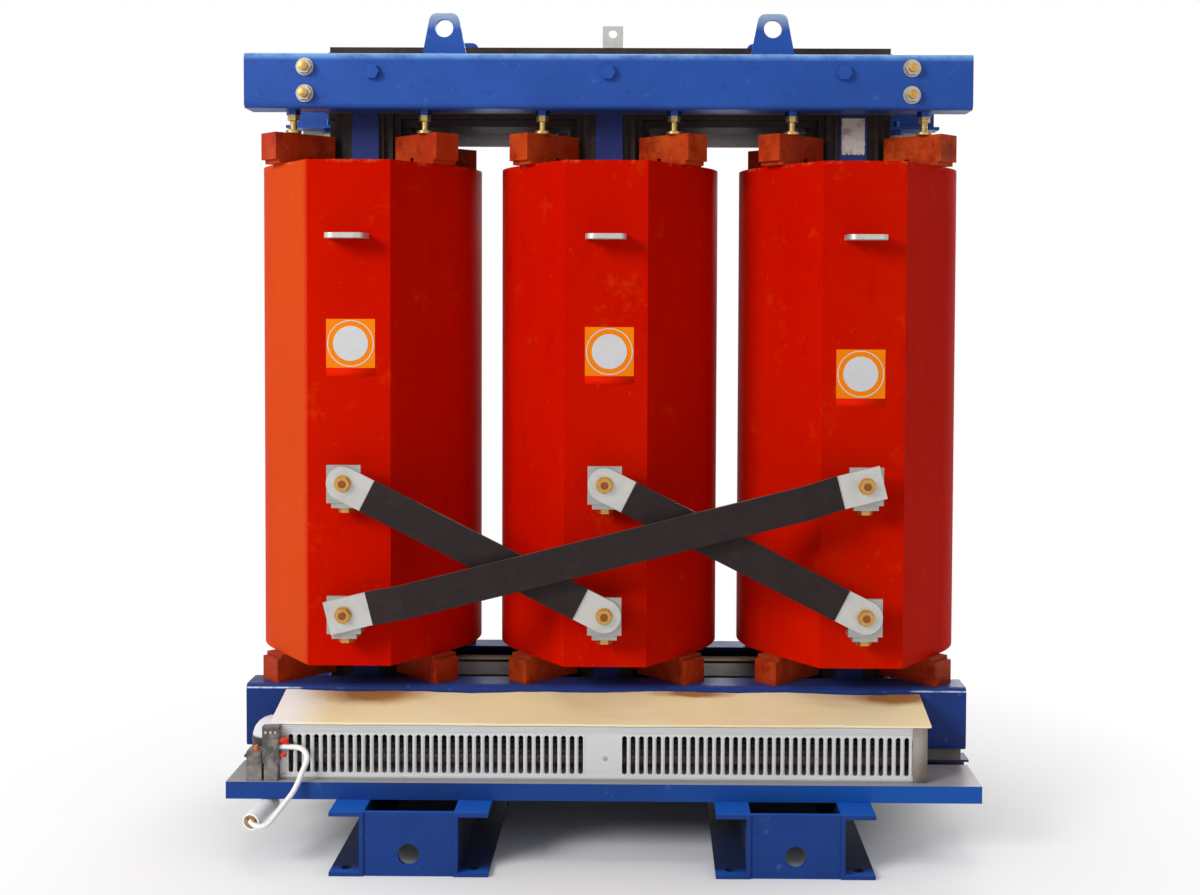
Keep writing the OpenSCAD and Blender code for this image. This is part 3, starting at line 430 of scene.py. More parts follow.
def fan_sheet():
    """Galvanised sheet, streaked along x."""
    p = Paint("fan_sheet", (0.62, 0.625, 0.63), roughness=0.4, metallic=0.35)
    p.patches((0.46, 0.455, 0.44), (0.45, 0.8), mix=0.4, scale=9, detail=5, stretch=(0.3, 1, 1))
    p.patches((0.30, 0.26, 0.21), (0.62, 0.72), mix=0.35, scale=80, detail=5, rough=0.7)
    p.gloss((0.3, 0.5), scale=50, detail=4)
    p.grain(depth=0.0005, strength=0.4, scale=220, detail=3, stretch=(0.1, 1, 1))
    return p.material


def cover_board():
    """Pale ply sheet, paler still at one end, with brown patches at its back edge."""
    p = Paint("cover_board", (0.90, 0.745, 0.42), roughness=0.62, specular=0.1)
    p.patches((0.78, 0.55, 0.25), (0.52, 0.72), mix=0.45,
              scale=4, detail=5, rough=0.6, stretch=(0.6, 2.2, 1))
    p.patches((0.91, 0.82, 0.58), (0.45, 0.65), mix=0.4, scale=3, detail=3)
    p.tint(p.band(p.axis(p.place, "X"), *PALE_END_X), (0.88, 0.85, 0.80))
    for centre, radii in BROWN_PATCHES:
        middle = tuple(share * radius for share, radius in zip(PATCH_MIDDLE, radii))
        p.tint(p.times(p.spot(centre, radii), 0.7), (0.52, 0.30, 0.13))
        p.tint(p.times(p.spot(centre, middle), 0.85), (0.36, 0.14, 0.03))
    p.patches((0.48, 0.30, 0.13), (0.68, 0.76), mix=0.3, scale=30, detail=6, rough=0.7)
    p.gloss((0.45, 0.75), scale=20, detail=4)
    p.grain(depth=0.0006, strength=0.4, scale=260, detail=4, stretch=(0.3, 1, 1))
    return p.material


def box_moulding():
    """Dirty grey plastic, paler where it has been rubbed and at the foot."""
    p = Paint("box_grey", (0.075, 0.070, 0.068), roughness=0.5, specular=0.3)
    p.patches((0.26, 0.225, 0.20), (0.47, 0.62), mix=0.75, scale=55, detail=6, rough=0.7)
    p.tint(p.times(p.height(*BOX_FOOT), 0.45), (0.27, 0.245, 0.225))
    p.patches(GRIME, (0.6, 0.68), mix=0.6, scale=130, detail=5, rough=0.7)
    p.on_top(DUST, mix=0.3)
    p.gloss((0.4, 0.65), scale=40, detail=4)
    p.grain(depth=0.0006, strength=0.4, scale=200, detail=3)
    return p.material


def plain(name, colour, roughness, mottle, grain=200, metallic=0.0, top_mix=0.2, specular=0.4):
    """Moulded or painted surface with mottling, a fine grain and a light dusting on top."""
    p = Paint(name, colour, roughness, metallic, specular)
    p.patches(mottle, (0.4, 0.7), mix=0.6, scale=22, detail=5)
    p.on_top(DUST, mix=top_mix)
    p.gloss((roughness - 0.08, roughness + 0.14), scale=40, detail=4)
    p.grain(depth=0.0006, strength=0.4, scale=grain, detail=3)
    return p.material


def end_cap_metal():
    """Dull sheet with rust blooms."""
    p = Paint("end_cap", (0.31, 0.275, 0.25), roughness=0.6, specular=0.1)
    p.patches((0.17, 0.145, 0.13), (0.45, 0.7), mix=0.6, scale=25, detail=5, rough=0.65)
    p.patches((0.36, 0.19, 0.09), (0.58, 0.68), mix=0.6, scale=48, detail=5, rough=0.7)
    p.grain(depth=0.0005, strength=0.4, scale=200, detail=3)
    return p.material


def lug_paint():
    """Clamp paint that turns paler towards the top of the front lugs."""
    low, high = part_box("lifting_lugs")
    material = blue_paint("lug_paint")
    p = Paint.over(material)
    front = p.band(p.axis(p.place, "Y"), 0.0, low.y / 2)
    p.tint(p.times(p.times(p.height(high.z - LUG_PALE_SPAN, high.z), front), 0.75), PALE_BLUE)
    return material


def shaded_lower_clamp_paint():
    """Clamp paint darkened as painted shade, with a painted highlight line along the top corner of its ends.
    """
    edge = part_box("lower_front_clamp")[1].z
    # Darker blue than the other clamps: painted shade from the coils above
    material = blue_paint("shaded_lower_clamp_paint", (0.009, 0.034, 0.19), 0.04)
    p = Paint.over(material)
    # Painted highlight line along the top corner at the clamps' ends
    low_rim, high_rim = (p.height(*(edge - under for under in rim)) for rim in (LINE_LOW, LINE_HIGH))
    patchy = p.times(p.outward(*LINE_X), p.band(p.noise(scale=60, detail=4), 0.35, 0.55))
    p.tint(p.times(p.times(low_rim, high_rim), patchy), HIGHLIGHT_LINE_BLUE)
    return material


# By material slot, and then the nodes that differ from their slot
MATERIALS = {
    "core_steel": core_steel(),
    "blue_paint": blue_paint(),
    "packing_board": packing_board(),
    "zinc": plated("zinc", (0.44, 0.41, 0.34), (0.26, 0.19, 0.10)),
    "coil_resin": coil_resin(),
    "inner_resin": inner_resin(),
    "block_resin": block_resin(),
    "yellow_zinc": plated("yellow_zinc", (0.52, 0.29, 0.08), (0.30, 0.12, 0.03)),
    "terminal_metal": terminal_metal(),
    "black_sleeve": black_sleeve(),
    "fan_sheet": fan_sheet(),
    "cover_board": cover_board(),
    "impeller_metal": plain("impeller_metal", (0.13, 0.095, 0.08), 0.5, (0.04, 0.03, 0.028), metallic=0.7),
    "motor_white": plain("motor_white", (0.90, 0.90, 0.89), 0.4, (0.80, 0.79, 0.77), top_mix=0.05),
    "box_grey": box_moulding(),
    "white_sleeve": plain("white_sleeve", (0.84, 0.84, 0.83), 0.5, (0.74, 0.73, 0.71), 600),
    "rail_paint": plain("rail_paint", (0.010, 0.013, 0.062), 0.5, (0.022, 0.016, 0.022), top_mix=0.05),
    "grey_pad": plain("grey_pad", (0.17, 0.145, 0.13), 0.75, (0.09, 0.075, 0.065)),
}
# Upper clamps: painted highlight along their top corner
UPPER_CLAMP_PAINT = blue_paint("upper_clamp_paint", edge=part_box("upper_front_clamp")[1].z)
# Lower clamps in a darker blue as painted shade, with a painted highlight line
SHADED_LOWER_CLAMP_PAINT = shaded_lower_clamp_paint()
# Darker copy of the terminal metal for brackets and tongues: painted shade that sets them apart from the palms
SHADED_BRACKET_METAL = terminal_metal("shaded_bracket_metal", (0.36, 0.35, 0.325))
# Feet: painted light on their upward faces and painted shade in their recesses
BASE_PAINT = blue_paint("base_paint", (0.009, 0.044, 0.225), 0.85, top=SUNLIT_TOP_BLUE, shaded_recess=True)
NODE_MATERIALS = {
    "press_bolts": press_bolt_metal(),
    "fan_shelves": blue_paint("shelf_paint", (0.008, 0.047, 0.235), 0.85, bright=(0.004, 0.085, 0.40)),
    "lifting_lugs": lug_paint(),
    # Lower blocks darkened as painted shade under the coils
    "lower_support_blocks": block_resin("shaded_lower_block_resin", 0.85),
    "delta_brackets": SHADED_BRACKET_METAL, "delta_tongues": SHADED_BRACKET_METAL,
    "tie_plates": blue_paint("tie_plate_paint", (0.022, 0.036, 0.19), 0.3),
    "upper_front_clamp": UPPER_CLAMP_PAINT, "upper_rear_clamp": UPPER_CLAMP_PAINT,
    "lower_front_clamp": SHADED_LOWER_CLAMP_PAINT, "lower_rear_clamp": SHADED_LOWER_CLAMP_PAINT,
    "left_base_channels": BASE_PAINT, "right_base_channels": BASE_PAINT, "base_end_plates": BASE_PAINT,
}

# Rounded edges on the CAD pieces, by width in millimetres
EDGES = {
    3.0: "left_hv_coil centre_hv_coil right_hv_coil",
    2.5: "upper_support_blocks lower_support_blocks",
    2.4: "delta_sleeves",
    2.0: "left_lv_coil centre_lv_coil right_lv_coil fan_terminal_boxes fan_capacitor "
         "fan_motors clamp_pads",
    1.6: "hv_line_terminals",
    1.5: "fan_shelves left_base_channels right_base_channels",
    1.2: "lifting_lugs limb_bolts base_rails",
    1.0: "delta_tongues delta_bars clamp_tie_bolts base_end_plates lv_phase_bars "
         "lv_neutral_bar lv_bar_supports",
    0.9: "delta_brackets",
    0.8: "tie_plates delta_bolts lv_neutral_terminal",
    0.7: "press_bolts",
    0.6: "fan_housings",
    0.5: "fan_grilles",
}
EDGE_ROUNDING = {node: width * MM for width, nodes in EDGES.items() for node in nodes.split()}
SHARP_ANGLE = math.radians(35)
BEVEL_SEGMENTS = 2


def smooth_by_angle(obj):
    for polygon in obj.data.polygons:
        polygon.use_smooth = True
    edges = bmesh.new()
    edges.from_mesh(obj.data)
    joined = [edge for edge in edges.edges if len(edge.link_faces) == 2]
    sharp = {edge.index for edge in joined if edge.calc_face_angle(0) > SHARP_ANGLE}
    edges.free()
    for edge in obj.data.edges:
        edge.use_edge_sharp = edge.index in sharp


def round_edges(obj, width):
    bevel = obj.modifiers.new("rounded_edges", "BEVEL")
    bevel.width = width
    bevel.segments = BEVEL_SEGMENTS
    bevel.limit_method = "ANGLE"
    bevel.angle_limit = SHARP_ANGLE
    bevel.harden_normals = True
    bevel.use_clamp_overlap = True


def dress_nodes():
    for part in frame["record"]["subparts"]:
        name = part["node"]
        obj = NODES[name]
        obj.data.materials.clear()
        obj.data.materials.append(NODE_MATERIALS.get(name, MATERIALS[part["material_slot"]]))
        smooth_by_angle(obj)
        if name in EDGE_ROUNDING:
            round_edges(obj, EDGE_ROUNDING[name])


dress_nodes()


# Shapes for the small pieces

def full_turn(segments):
    return [2 * math.pi * k / segments for k in range(segments)]


def in_mm(profile, size=1.0):
    """Profile in metres from one in millimetres."""
    return [(r * size * MM, h * size * MM) for r, h in profile]


class Shape:
    """Collects closed forms and makes one piece of them."""

    def __init__(self):
        self.verts = []
        self.faces = []

    def add(self, verts, faces, move=None):
        start = len(self.verts)
        self.verts += [move @ Vector(v) if move else Vector(v) for v in verts]
        self.faces += [[start + i for i in face] for face in faces]

    def loft(self, rings, move=None, closed=False):
        """Skins equal rings of points; the ends are capped unless the rings close on themselves."""
        n = len(rings[0])
        count = len(rings)
        faces = [
            [i * n + k, i * n + (k + 1) % n, (i + 1) % count * n + (k + 1) % n, (i + 1) % count * n + k]
            for i in range(count if closed else count - 1) for k in range(n)
        ]
        if not closed:
            faces += [list(range(n))[::-1], [(count - 1) * n + k for k in range(n)]]
        self.add([p for ring in rings for p in ring], faces, move)

    def revolve(self, profile, move=None, segments=24):
        """Turns (radius, height) pairs about Z; first and last radius close the ends."""
        rings = [[(r * math.cos(t), r * math.sin(t), z) for t in full_turn(segments)] for r, z in profile]
        self.loft(rings, move)

    def ring(self, profile, move=None, segments=32):
        """Turns a closed (radius, height) outline about Z."""
        rings = [[(r * math.cos(t), r * math.sin(t), z) for r, z in profile] for t in full_turn(segments)]
        self.loft(rings, move, closed=True)

    def prism(self, outline, z0, z1, move=None):
        """Stands an (x, y) outline up between two heights."""
        self.loft([[(x, y, z0) for x, y in outline], [(x, y, z1) for x, y in outline]], move)

    def piece(self, name, slot, material=None, rounding=0.0):
        """Makes the object, in its slot's material unless another is given."""
        mesh = bpy.data.meshes.new(name)
        mesh.from_pydata(self.verts, [], self.faces)
        tidy = bmesh.new()
        tidy.from_mesh(mesh)
        bmesh.ops.recalc_face_normals(tidy, faces=tidy.faces)
        tidy.to_mesh(mesh)
        tidy.free()
        obj = new_object(name, mesh)
        mesh.materials.append(material or MATERIALS[slot])
        smooth_by_angle(obj)
        if rounding:
            round_edges(obj, rounding)
        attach(obj, BODY)
        return obj


def facing(point, direction):
    """Matrix that stands +Z along a direction at a point."""
    return Matrix.Translation(point) @ Vector(direction).to_track_quat("Z", "Y").to_matrix().to_4x4()


def along_x(shape, outline, x0, x1, move=None):
    """Prism of a (y, z) outline between two values of x."""
    shape.loft([[(x, y, z) for y, z in outline] for x in (x0, x1)], move)


FRONT = Vector((0, -1, 0))
REAR = Vector((0, 1, 0))
LEFT = Vector((-1, 0, 0))
UP = Vector((0, 0, 1))
# How deep thin sheets are let into the surface under them
SINK = 0.2 * MM
# Radius that closes the end of a turned profile
TIP_R = 0.1 * MM


# The capacitor's lead, along the same points as its solid, in millimetres

LEAD_D = 9.5 * MM
LEAD_POINTS = [
    (-568, -314.046, 199), (-557.6, -314.046, 199), (-547.1, -314.646, 198.7), (-536.7, -315.546, 198),
    (-529.7, -316.546, 196.4), (-523.9, -318.246, 192.7), (-519.8, -320.646, 187.3), (-518.2, -323.246, 180.9),
    (-519.2, -325.946, 174.3), (-522.9, -329.946, 164.2), (-526.6, -333.846, 154.2), (-530.2, -337.846, 144.1),
    (-532.8, -340.646, 137.8), (-535.7, -343.746, 131.9), (-539, -347.346, 126.3), (-542.7, -351.246, 121.3),
    (-547.8, -356.746, 114.9), (-552.8, -362.146, 108.4), (-557.9, -367.646, 102), (-563, -373.046, 95.6),
    (-568.1, -378.546, 89.2), (-572.5, -381.746, 85.3), (-578.3, -383.746, 82.7), (-585, -384.246, 81.6),
    (-591.5, -383.246, 82.4), (-597.3, -380.746, 84.7), (-604.3, -376.546, 88.9),
]


def make_lead():
    points = [Vector(p) * MM for p in LEAD_POINTS]
    curve = bpy.data.curves.new("capacitor_lead_cord", "CURVE")
    curve.dimensions = "3D"
    curve.bevel_depth = LEAD_D / 2
    curve.bevel_resolution = 4
    curve.resolution_u = 8
    curve.use_fill_caps = True
    spline = curve.splines.new("BEZIER")
    spline.bezier_points.add(len(points) - 1)
    for knot, point in zip(spline.bezier_points, points):
        knot.co = point
        knot.handle_left_type = knot.handle_right_type = "AUTO"
    lead = new_object("capacitor_lead_cord", curve)
    curve.materials.append(MATERIALS["white_sleeve"])
    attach(lead, BODY)
    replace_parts(lead, "capacitor_lead")


make_lead()


# Blank stickers on the coil fronts

STICKER_W = 87 * MM
STICKER_T = 0.5 * MM
STRIP_H = 15 * MM
DISC_R = 31.2 * MM
RING_R = (39.8 * MM, 41.6 * MM)
# Centre of each sticker: offset from the limb centre and height, in metres
STICKERS = {"left": (0.003, 0.905), "centre": (0.006, 0.8925), "right": (-0.005, 0.8545)}


def rounded_square(width, radius, steps=5):
    """Points round a square with round corners."""
    half = width / 2 - radius
    points = []
    for corner, (sx, sy) in enumerate(((1, 1), (-1, 1), (-1, -1), (1, -1))):
        for k in range(steps + 1):
            t = math.radians(90 * corner + 90 * k / steps)
            points.append((sx * half + radius * math.cos(t), sy * half + radius * math.sin(t)))
    return points


def make_stickers():
    orange = plain("sticker_orange", (0.80, 0.20, 0.002), 0.5, (0.74, 0.165, 0.002), 300, specular=0.05)
    pale = plain("sticker_pale", (0.56, 0.56, 0.57), 0.5, (0.50, 0.50, 0.51), 300, specular=0.05)
    red = plain("sticker_red", (0.70, 0.011, 0.0), 0.5, (0.62, 0.009, 0.0), 300, specular=0.02)
    squares, discs, strips = Shape(), Shape(), Shape()
    proud = 1.6 * STICKER_T
    half = STICKER_W / 2
    inner, outer = RING_R
    for limb, (dx, z) in STICKERS.items():
        x = LIMB_X[limb] + dx
        at = facing((x, FACET_Y, z), FRONT)
        squares.prism(rounded_square(STICKER_W, 1 * MM), -SINK, STICKER_T, at)
        discs.revolve([(DISC_R, 0.0), (DISC_R, proud), (TIP_R, proud)], at, 64)
        discs.ring([(inner, 0.0), (outer, 0.0), (outer, proud), (inner, proud)], at, 64)
        back, front, foot = FACET_Y + SINK, FACET_Y - STICKER_T, z - half
        along_x(strips, [(back, foot), (front, foot), (front, foot - STRIP_H), (back, foot - STRIP_H)],
                x - half, x + half)
    squares.piece("coil_stickers", "coil_resin", orange)
    discs.piece("coil_sticker_discs", "coil_resin", pale)
    strips.piece("coil_sticker_strips", "coil_resin", red)


make_stickers()


# Bolts: washers and threads

def washer(shape, at, inner, outer, thick):
    """Flat ring with eased edges, sizes in millimetres."""
    shape.ring(in_mm([(inner, 0), (outer - 0.3, 0), (outer, 0.3), (outer, thick - 0.4),
                      (outer - 0.4, thick), (inner, thick)]), at)


def thread(shape, at, radius, length, pitch):
    """Turned rod with a groove at each pitch and an eased end."""
    root, crest, ease = 0.05 * MM, 0.55 * MM, 0.8 * MM
    profile = [(radius, 0.0)]
    for i in range(int(length / pitch)):
        profile += [(radius + root, i * pitch), (radius + crest, (i + 0.5) * pitch)]
    profile += [(radius, length), (radius * 0.7, length + ease)]
    shape.revolve(profile, at, 20)


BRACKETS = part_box("delta_brackets")
# The delta bolts stand this far from the brackets' lower and upper ends
BRACKET_DROP = 35 * MM
BRACKET_RISE = 32 * MM
DELTA_Z = [BRACKETS[0].z + BRACKET_DROP, BRACKETS[1].z - BRACKET_RISE]
DELTA_FACE = BRACKETS[0].y
DELTA_BAR_T = 6 * MM
DELTA_HEAD_H = 9.24 * MM
TONGUE_T = 9 * MM
FOOT_BOLT_BACK = 23 * MM
# Inner and outer radius and thickness, and (radius, height) pairs, in millimetres
FRONT_WASHER = (7, 15, 2.4)
FOOT_WASHER = (7, 14.5, 2)
STUD_END = ((6.6, -0.5), (6.6, 1.6), (5.8, 2.6), (0.01, 2.6))


def make_delta_bolts():
    """Washers under the bolts and the studs' ends in the front nuts."""
    gold, silver, studs = Shape(), Shape(), Shape()
    face = DELTA_FACE - DELTA_BAR_T
    for x in LIMB_X.values():
        for z in DELTA_Z:
            washer(gold, facing((x, face, z), FRONT), *FRONT_WASHER)
            studs.revolve(in_mm(STUD_END), facing((x, face - DELTA_HEAD_H, z), FRONT), 20)
            tongue_low = z - BRACKET_DROP - TONGUE_T
            washer(silver, facing((x, DELTA_FACE + FOOT_BOLT_BACK, tongue_low), -UP), *FOOT_WASHER)
    stud_brown = plated("stud_brown", (0.26, 0.085, 0.025), (0.16, 0.05, 0.02))
    gold.piece("delta_front_washers", "yellow_zinc")
    silver.piece("delta_foot_washers", "zinc")
    studs.piece("delta_stud_ends", "yellow_zinc", stud_brown)


make_delta_bolts()


def make_tie_bolt_ends():
    """Threaded brass-coloured ends of the clamps' tie bolts, outside their nuts."""
    low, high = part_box("clamp_tie_bolts")
    washer_r, spacing = 16 * MM, 48 * MM
    end_r, end_l, pitch = 7.7 * MM, 6 * MM, 2 * MM
    lowest, highest = low.z + washer_r, high.z - washer_r
    ends = Shape()
    for x in (low.x + washer_r, high.x - washer_r):
        for z in (lowest, lowest + spacing, highest - spacing, highest):
            for direction, y in ((FRONT, low.y), (REAR, high.y)):
                at = facing(Vector((x, y, z)) - direction * end_l, direction)
                thread(ends, at, end_r, end_l, pitch)
    ends.piece("tie_bolt_ends", "yellow_zinc")


make_tie_bolt_ends()


# Fans: cover boards, slotted face, front trim, end caps, screws. All sizes in metres.

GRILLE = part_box("fan_grilles")
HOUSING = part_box("fan_housings")
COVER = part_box("fan_covers")
FAN_FRONT_Y = GRILLE[0].y
FAN_L = 1.136
FAN_MIDDLE_X = -0.002
FAN_END_X = FAN_MIDDLE_X + FAN_L / 2


def fan_turn(side):
    """Matrix from the front fan's place to the fan on that side."""
    return Matrix.Identity(4) if side == "front" else Matrix.Rotation(math.pi, 4, "Z")


COVER_T = 3.2 * MM
COVER_DEPTH = 0.1186
COVER_LAP = 0.016
COVER_END_LAP = 0.008
COVER_RISE = 0.0022
COVER_CELLS = (90, 10)
# The board's warp: height, turns along and across it, and phase of each wave, then how ragged it is
COVER_WAVES = ((0.0016, 9.0, 2.1, 0.0), (0.0012, 31, 1.3, 0.8))
COVER_RAGGED = 0.0009


def make_cover(side):
    """Warped board on top of a fan, a little ragged at its edges."""
    front_z, back_z = COVER[0].z + 0.0005, COVER[1].z - 0.0035
    nx, ny = COVER_CELLS
    top, bottom = [], []
    for i in range(nx + 1):
        u = i / nx
        x = FAN_MIDDLE_X + (u - 0.5) * (FAN_L + COVER_LAP) - (0 if i else COVER_END_LAP)
        for j in range(ny + 1):
            v = j / ny
            y = COVER[0].y + v * COVER_DEPTH
            wave = sum(high * math.sin(a * u + b * v + phase) for high, a, b, phase in COVER_WAVES)
            ragged = COVER_RAGGED * noise.noise((40 * u, 7 * v, 3.0))
            z = front_z + (back_z - front_z) * v + COVER_RISE + wave * (0.25 + v * 0.75) + ragged
            bottom.append((x, y, z - COVER_T / 2))
            top.append((x, y, z + COVER_T / 2))
    n = len(top)

    def at(i, j):
        return i * (ny + 1) + j

    faces = []
    for i in range(nx):
        for j in range(ny):
            quad = [at(i, j), at(i + 1, j), at(i + 1, j + 1), at(i, j + 1)]
            faces += [[n + k for k in quad], quad[::-1]]
    rim = [at(i, 0) for i in range(nx)] + [at(nx, j) for j in range(ny)]
    rim += [at(i, ny) for i in range(nx, 0, -1)] + [at(0, j) for j in range(ny, 0, -1)]
    for a, b in zip(rim, rim[1:] + rim[:1]):
        faces.append([a, b, n + b, n + a])
    shape = Shape()
    shape.add(bottom + top, faces, fan_turn(side))
    return shape.piece(f"{side}_fan_cover_board", "cover_board")


for fan_side in FAN_SIDES:
    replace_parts(make_cover(fan_side), "fan_covers")


SLOT_PITCH, SLOT_W, SLOT_H = 0.015, 0.0085, 0.068
SLOT_LOW = GRILLE[0].z + 0.008
SLOT_HIGH = SLOT_LOW + SLOT_H
SLOTS_PER_SIDE = 35
SLOT_MARGIN = 0.004
FACE_T = 0.0009
CENTRE_PLATE_W = 0.062
RIB_HALF_W = 0.42 * (SLOT_PITCH - SLOT_W)
RIB_H = 0.0024
RIB_GAP = 0.002
# Sections of the ridges above the slots and the lip below: (y, z) from the fan's front and grille's foot
RIDGE = ((0.001, 0.0), (-0.0016, 0.0008), (-0.0016, 0.0026), (0.001, 0.0034))
RIDGES, RIDGE_Z, RIDGE_PITCH = 3, 0.0805, 0.0042
LIP = ((0.001, 0.0), (-0.003, 0.0), (-0.003, 0.004), (0.001, 0.006))
TRIM_INSET = 0.004
# End cap: (x, y) from the fan's front corner, and heights above the housing's foot
CAP = ((-0.024, -0.0036), (0.0014, -0.0036), (0.0014, 0.030),
       (0.0002, 0.030), (0.0002, -0.0022), (-0.024, -0.0022))
CAP_Z = (0.0005, 0.0965)
# Screw on the centre plate: (x, z) from the plate's middle and the grille's foot, and its turned profile
SCREW_AT = (0.004, 0.036)
SCREW = ((0.0042, -0.0005), (0.0042, 0.001), (0.0033, 0.0021), (0.0012, 0.0024), (0.0001, 0.0012))


def half_turn(steps):
    return [math.pi * k / steps for k in range(steps + 1)]


def slotted_cell(shape, x, turn):
    """One slot's share of the grille's face plate: the slot has round ends, the cell is square."""
    y0, y1 = FAN_FRONT_Y - FACE_T, FAN_FRONT_Y + SINK
    r, half, steps = SLOT_W / 2, SLOT_PITCH / 2, 8
    inner = [(x + r * math.cos(t), SLOT_HIGH - r + r * math.sin(t)) for t in half_turn(steps)]
    inner += [(x - r * math.cos(t), SLOT_LOW + r - r * math.sin(t)) for t in half_turn(steps)]
    across = [half * (1 - 2 * k / steps) for k in range(steps + 1)]
    outer = [(x + dx, SLOT_HIGH + SLOT_MARGIN) for dx in across]
    outer += [(x - dx, SLOT_LOW - SLOT_MARGIN) for dx in across]
    rings = [[(ix, y0, iz), (ox, y0, oz), (ox, y1, oz), (ix, y1, iz)]
             for (ix, iz), (ox, oz) in zip(inner, outer)]
    shape.loft(rings, turn, closed=True)


def front_strip(shape, section, z, turn):
    """Runs a section along the fan's front, at a height."""
    half = FAN_L / 2 - TRIM_INSET
    outline = [(FAN_FRONT_Y + dy, z + dz) for dy, dz in section]
    along_x(shape, outline, FAN_MIDDLE_X - half, FAN_MIDDLE_X + half, turn)


def make_fan_trim():
    """Face plate with round-ended slots, ridged band above them, a lip below, ribs, end caps and screws."""
    face, trim, ribs, caps, screws = Shape(), Shape(), Shape(), Shape(), Shape()
    foot, y = GRILLE[0].z, FAN_FRONT_Y
    for side in FAN_SIDES:
        turn = fan_turn(side)
        for k in range(RIDGES):
            front_strip(trim, RIDGE, foot + RIDGE_Z + RIDGE_PITCH * k, turn)
        front_strip(trim, LIP, foot, turn)
        for sign in (-1, 1):
            for i in range(SLOTS_PER_SIDE):
                x = FAN_MIDDLE_X + sign * (CENTRE_PLATE_W / 2 + i * SLOT_PITCH + SLOT_PITCH / 2)
                slotted_cell(face, x, turn)
                if i:
                    rib_x = x - sign * SLOT_PITCH / 2
                    outline = [(rib_x + RIB_HALF_W * math.cos(t), y - RIB_H * math.sin(t))
                               for t in half_turn(6)]
                    ribs.prism(outline, SLOT_LOW + RIB_GAP, SLOT_HIGH - RIB_GAP, turn)
        cap_low, cap_high = (HOUSING[0].z + z for z in CAP_Z)
        caps.prism([(FAN_END_X + dx, y + dy) for dx, dy in CAP], cap_low, cap_high, turn)
        dx, dz = SCREW_AT
        screws.revolve(SCREW, turn @ facing((FAN_MIDDLE_X + dx, y, foot + dz), FRONT))
    face.piece("fan_slot_faces", "fan_sheet")
    trim.piece("fan_trim", "fan_sheet", rounding=0.3 * MM)
    ribs.piece("fan_grille_ribs", "fan_sheet")
    caps.piece("fan_end_caps", "fan_sheet", end_cap_metal())
    screws.piece("fan_screws", "zinc")


make_fan_trim()


# Small pieces: caps on the terminal boxes, motor bells, the capacitor's end, weld beads, a blank label.
# Turned profiles are (radius, height) pairs in millimetres.

RED_CAP = ((4.6, -1), (4.6, 9), (5.4, 10), (5.4, 14), (4.2, 16), (0.01, 16.4))
# Height and size of each red cap on the relay box, how far behind its front they stand, where they point
RED_CAPS = ((0.2105, 1.0), (0.1850, 0.75))
RED_CAP_BACK = 0.006
RED_CAP_AIM = (1, -0.12, 0)
ORANGE_CAP = ((4.5, -1), (4.5, 5), (3.4, 8), (0.01, 9))
# From the boxes' left front corner, and above the housing's foot
ORANGE_CAP_AT = Vector((0.015, 0.012, 0.052))
RELAY_SCREW = ((2.6, -0.5), (2.6, 1.6), (1.9, 2.2), (0.01, 1.5))
RELAY_SCREWS = 3
RELAY_SCREW_X, RELAY_SCREW_PITCH, RELAY_SCREW_Z = -0.0225, 0.0085, 0.226


def make_box_details():
    """Red caps and screws on the relay box, and an orange cap on the box beside it."""
    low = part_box("fan_terminal_boxes")[0]
    relay_x = LEAD_POINTS[0][0] * MM
    red, orange, tabs = Shape(), Shape(), Shape()
    for z, size in RED_CAPS:
        red.revolve(in_mm(RED_CAP, size), facing((relay_x, low.y + RED_CAP_BACK, z), RED_CAP_AIM), 20)
    corner = Vector((low.x, low.y, HOUSING[0].z))
    orange.revolve(in_mm(ORANGE_CAP), facing(corner + ORANGE_CAP_AT, UP), 20)
    for k in range(RELAY_SCREWS):
        at = facing((relay_x + RELAY_SCREW_X + RELAY_SCREW_PITCH * k, low.y, RELAY_SCREW_Z), FRONT)
        tabs.revolve(in_mm(RELAY_SCREW), at, 16)
    cap_red = plain("cap_red", (0.70, 0.030, 0.003), 0.4, (0.50, 0.018, 0.003), specular=0.12)
    red.piece("relay_red_caps", "box_grey", cap_red)
    cap_orange = plain("cap_orange", (0.72, 0.17, 0.012), 0.45, (0.55, 0.11, 0.01), specular=0.12)
    orange.piece("box_orange_cap", "box_grey", cap_orange)
    tabs.piece("relay_screws", "zinc")


BELL_OUTSIDE = ((40.5, 0.4), (40.5, 22), (39.5, 32), (36.5, 41), (31, 49), (23.5, 55), (16, 58))
BELL_INSIDE = ((16, 56.4), (22.8, 53.5), (29.8, 47.8), (35, 40.2), (38, 31.6), (38.9, 22), (38.9, 0.4))
BELL_Y, BELL_Z = -0.254, 0.197
# The bells turn from painted shade below to pale above between these heights
BELL_SHADE_Z = (0.209, 0.206)


def make_motor_shields():
    """Bell round each fan motor, at the housing's left end: pale above, painted shade below."""
    bells = Shape()
    left_end = FAN_MIDDLE_X - FAN_L / 2
    for side in FAN_SIDES:
        at = fan_turn(side) @ facing((left_end, BELL_Y, BELL_Z), LEFT)
        bells.ring(in_mm(BELL_OUTSIDE + BELL_INSIDE), at, 48)
    p = Paint("motor_shield", (0.64, 0.65, 0.66), roughness=0.45)
    p.patches((0.48, 0.48, 0.48), (0.45, 0.65), mix=0.4, scale=20, detail=5, stretch=(0.3, 1, 1))
    # Painted shade on the lower part of each bell
    p.tint(p.height(*BELL_SHADE_Z), (0.022, 0.018, 0.020))
    bells.piece("fan_motor_shields", "motor_white", p.material)


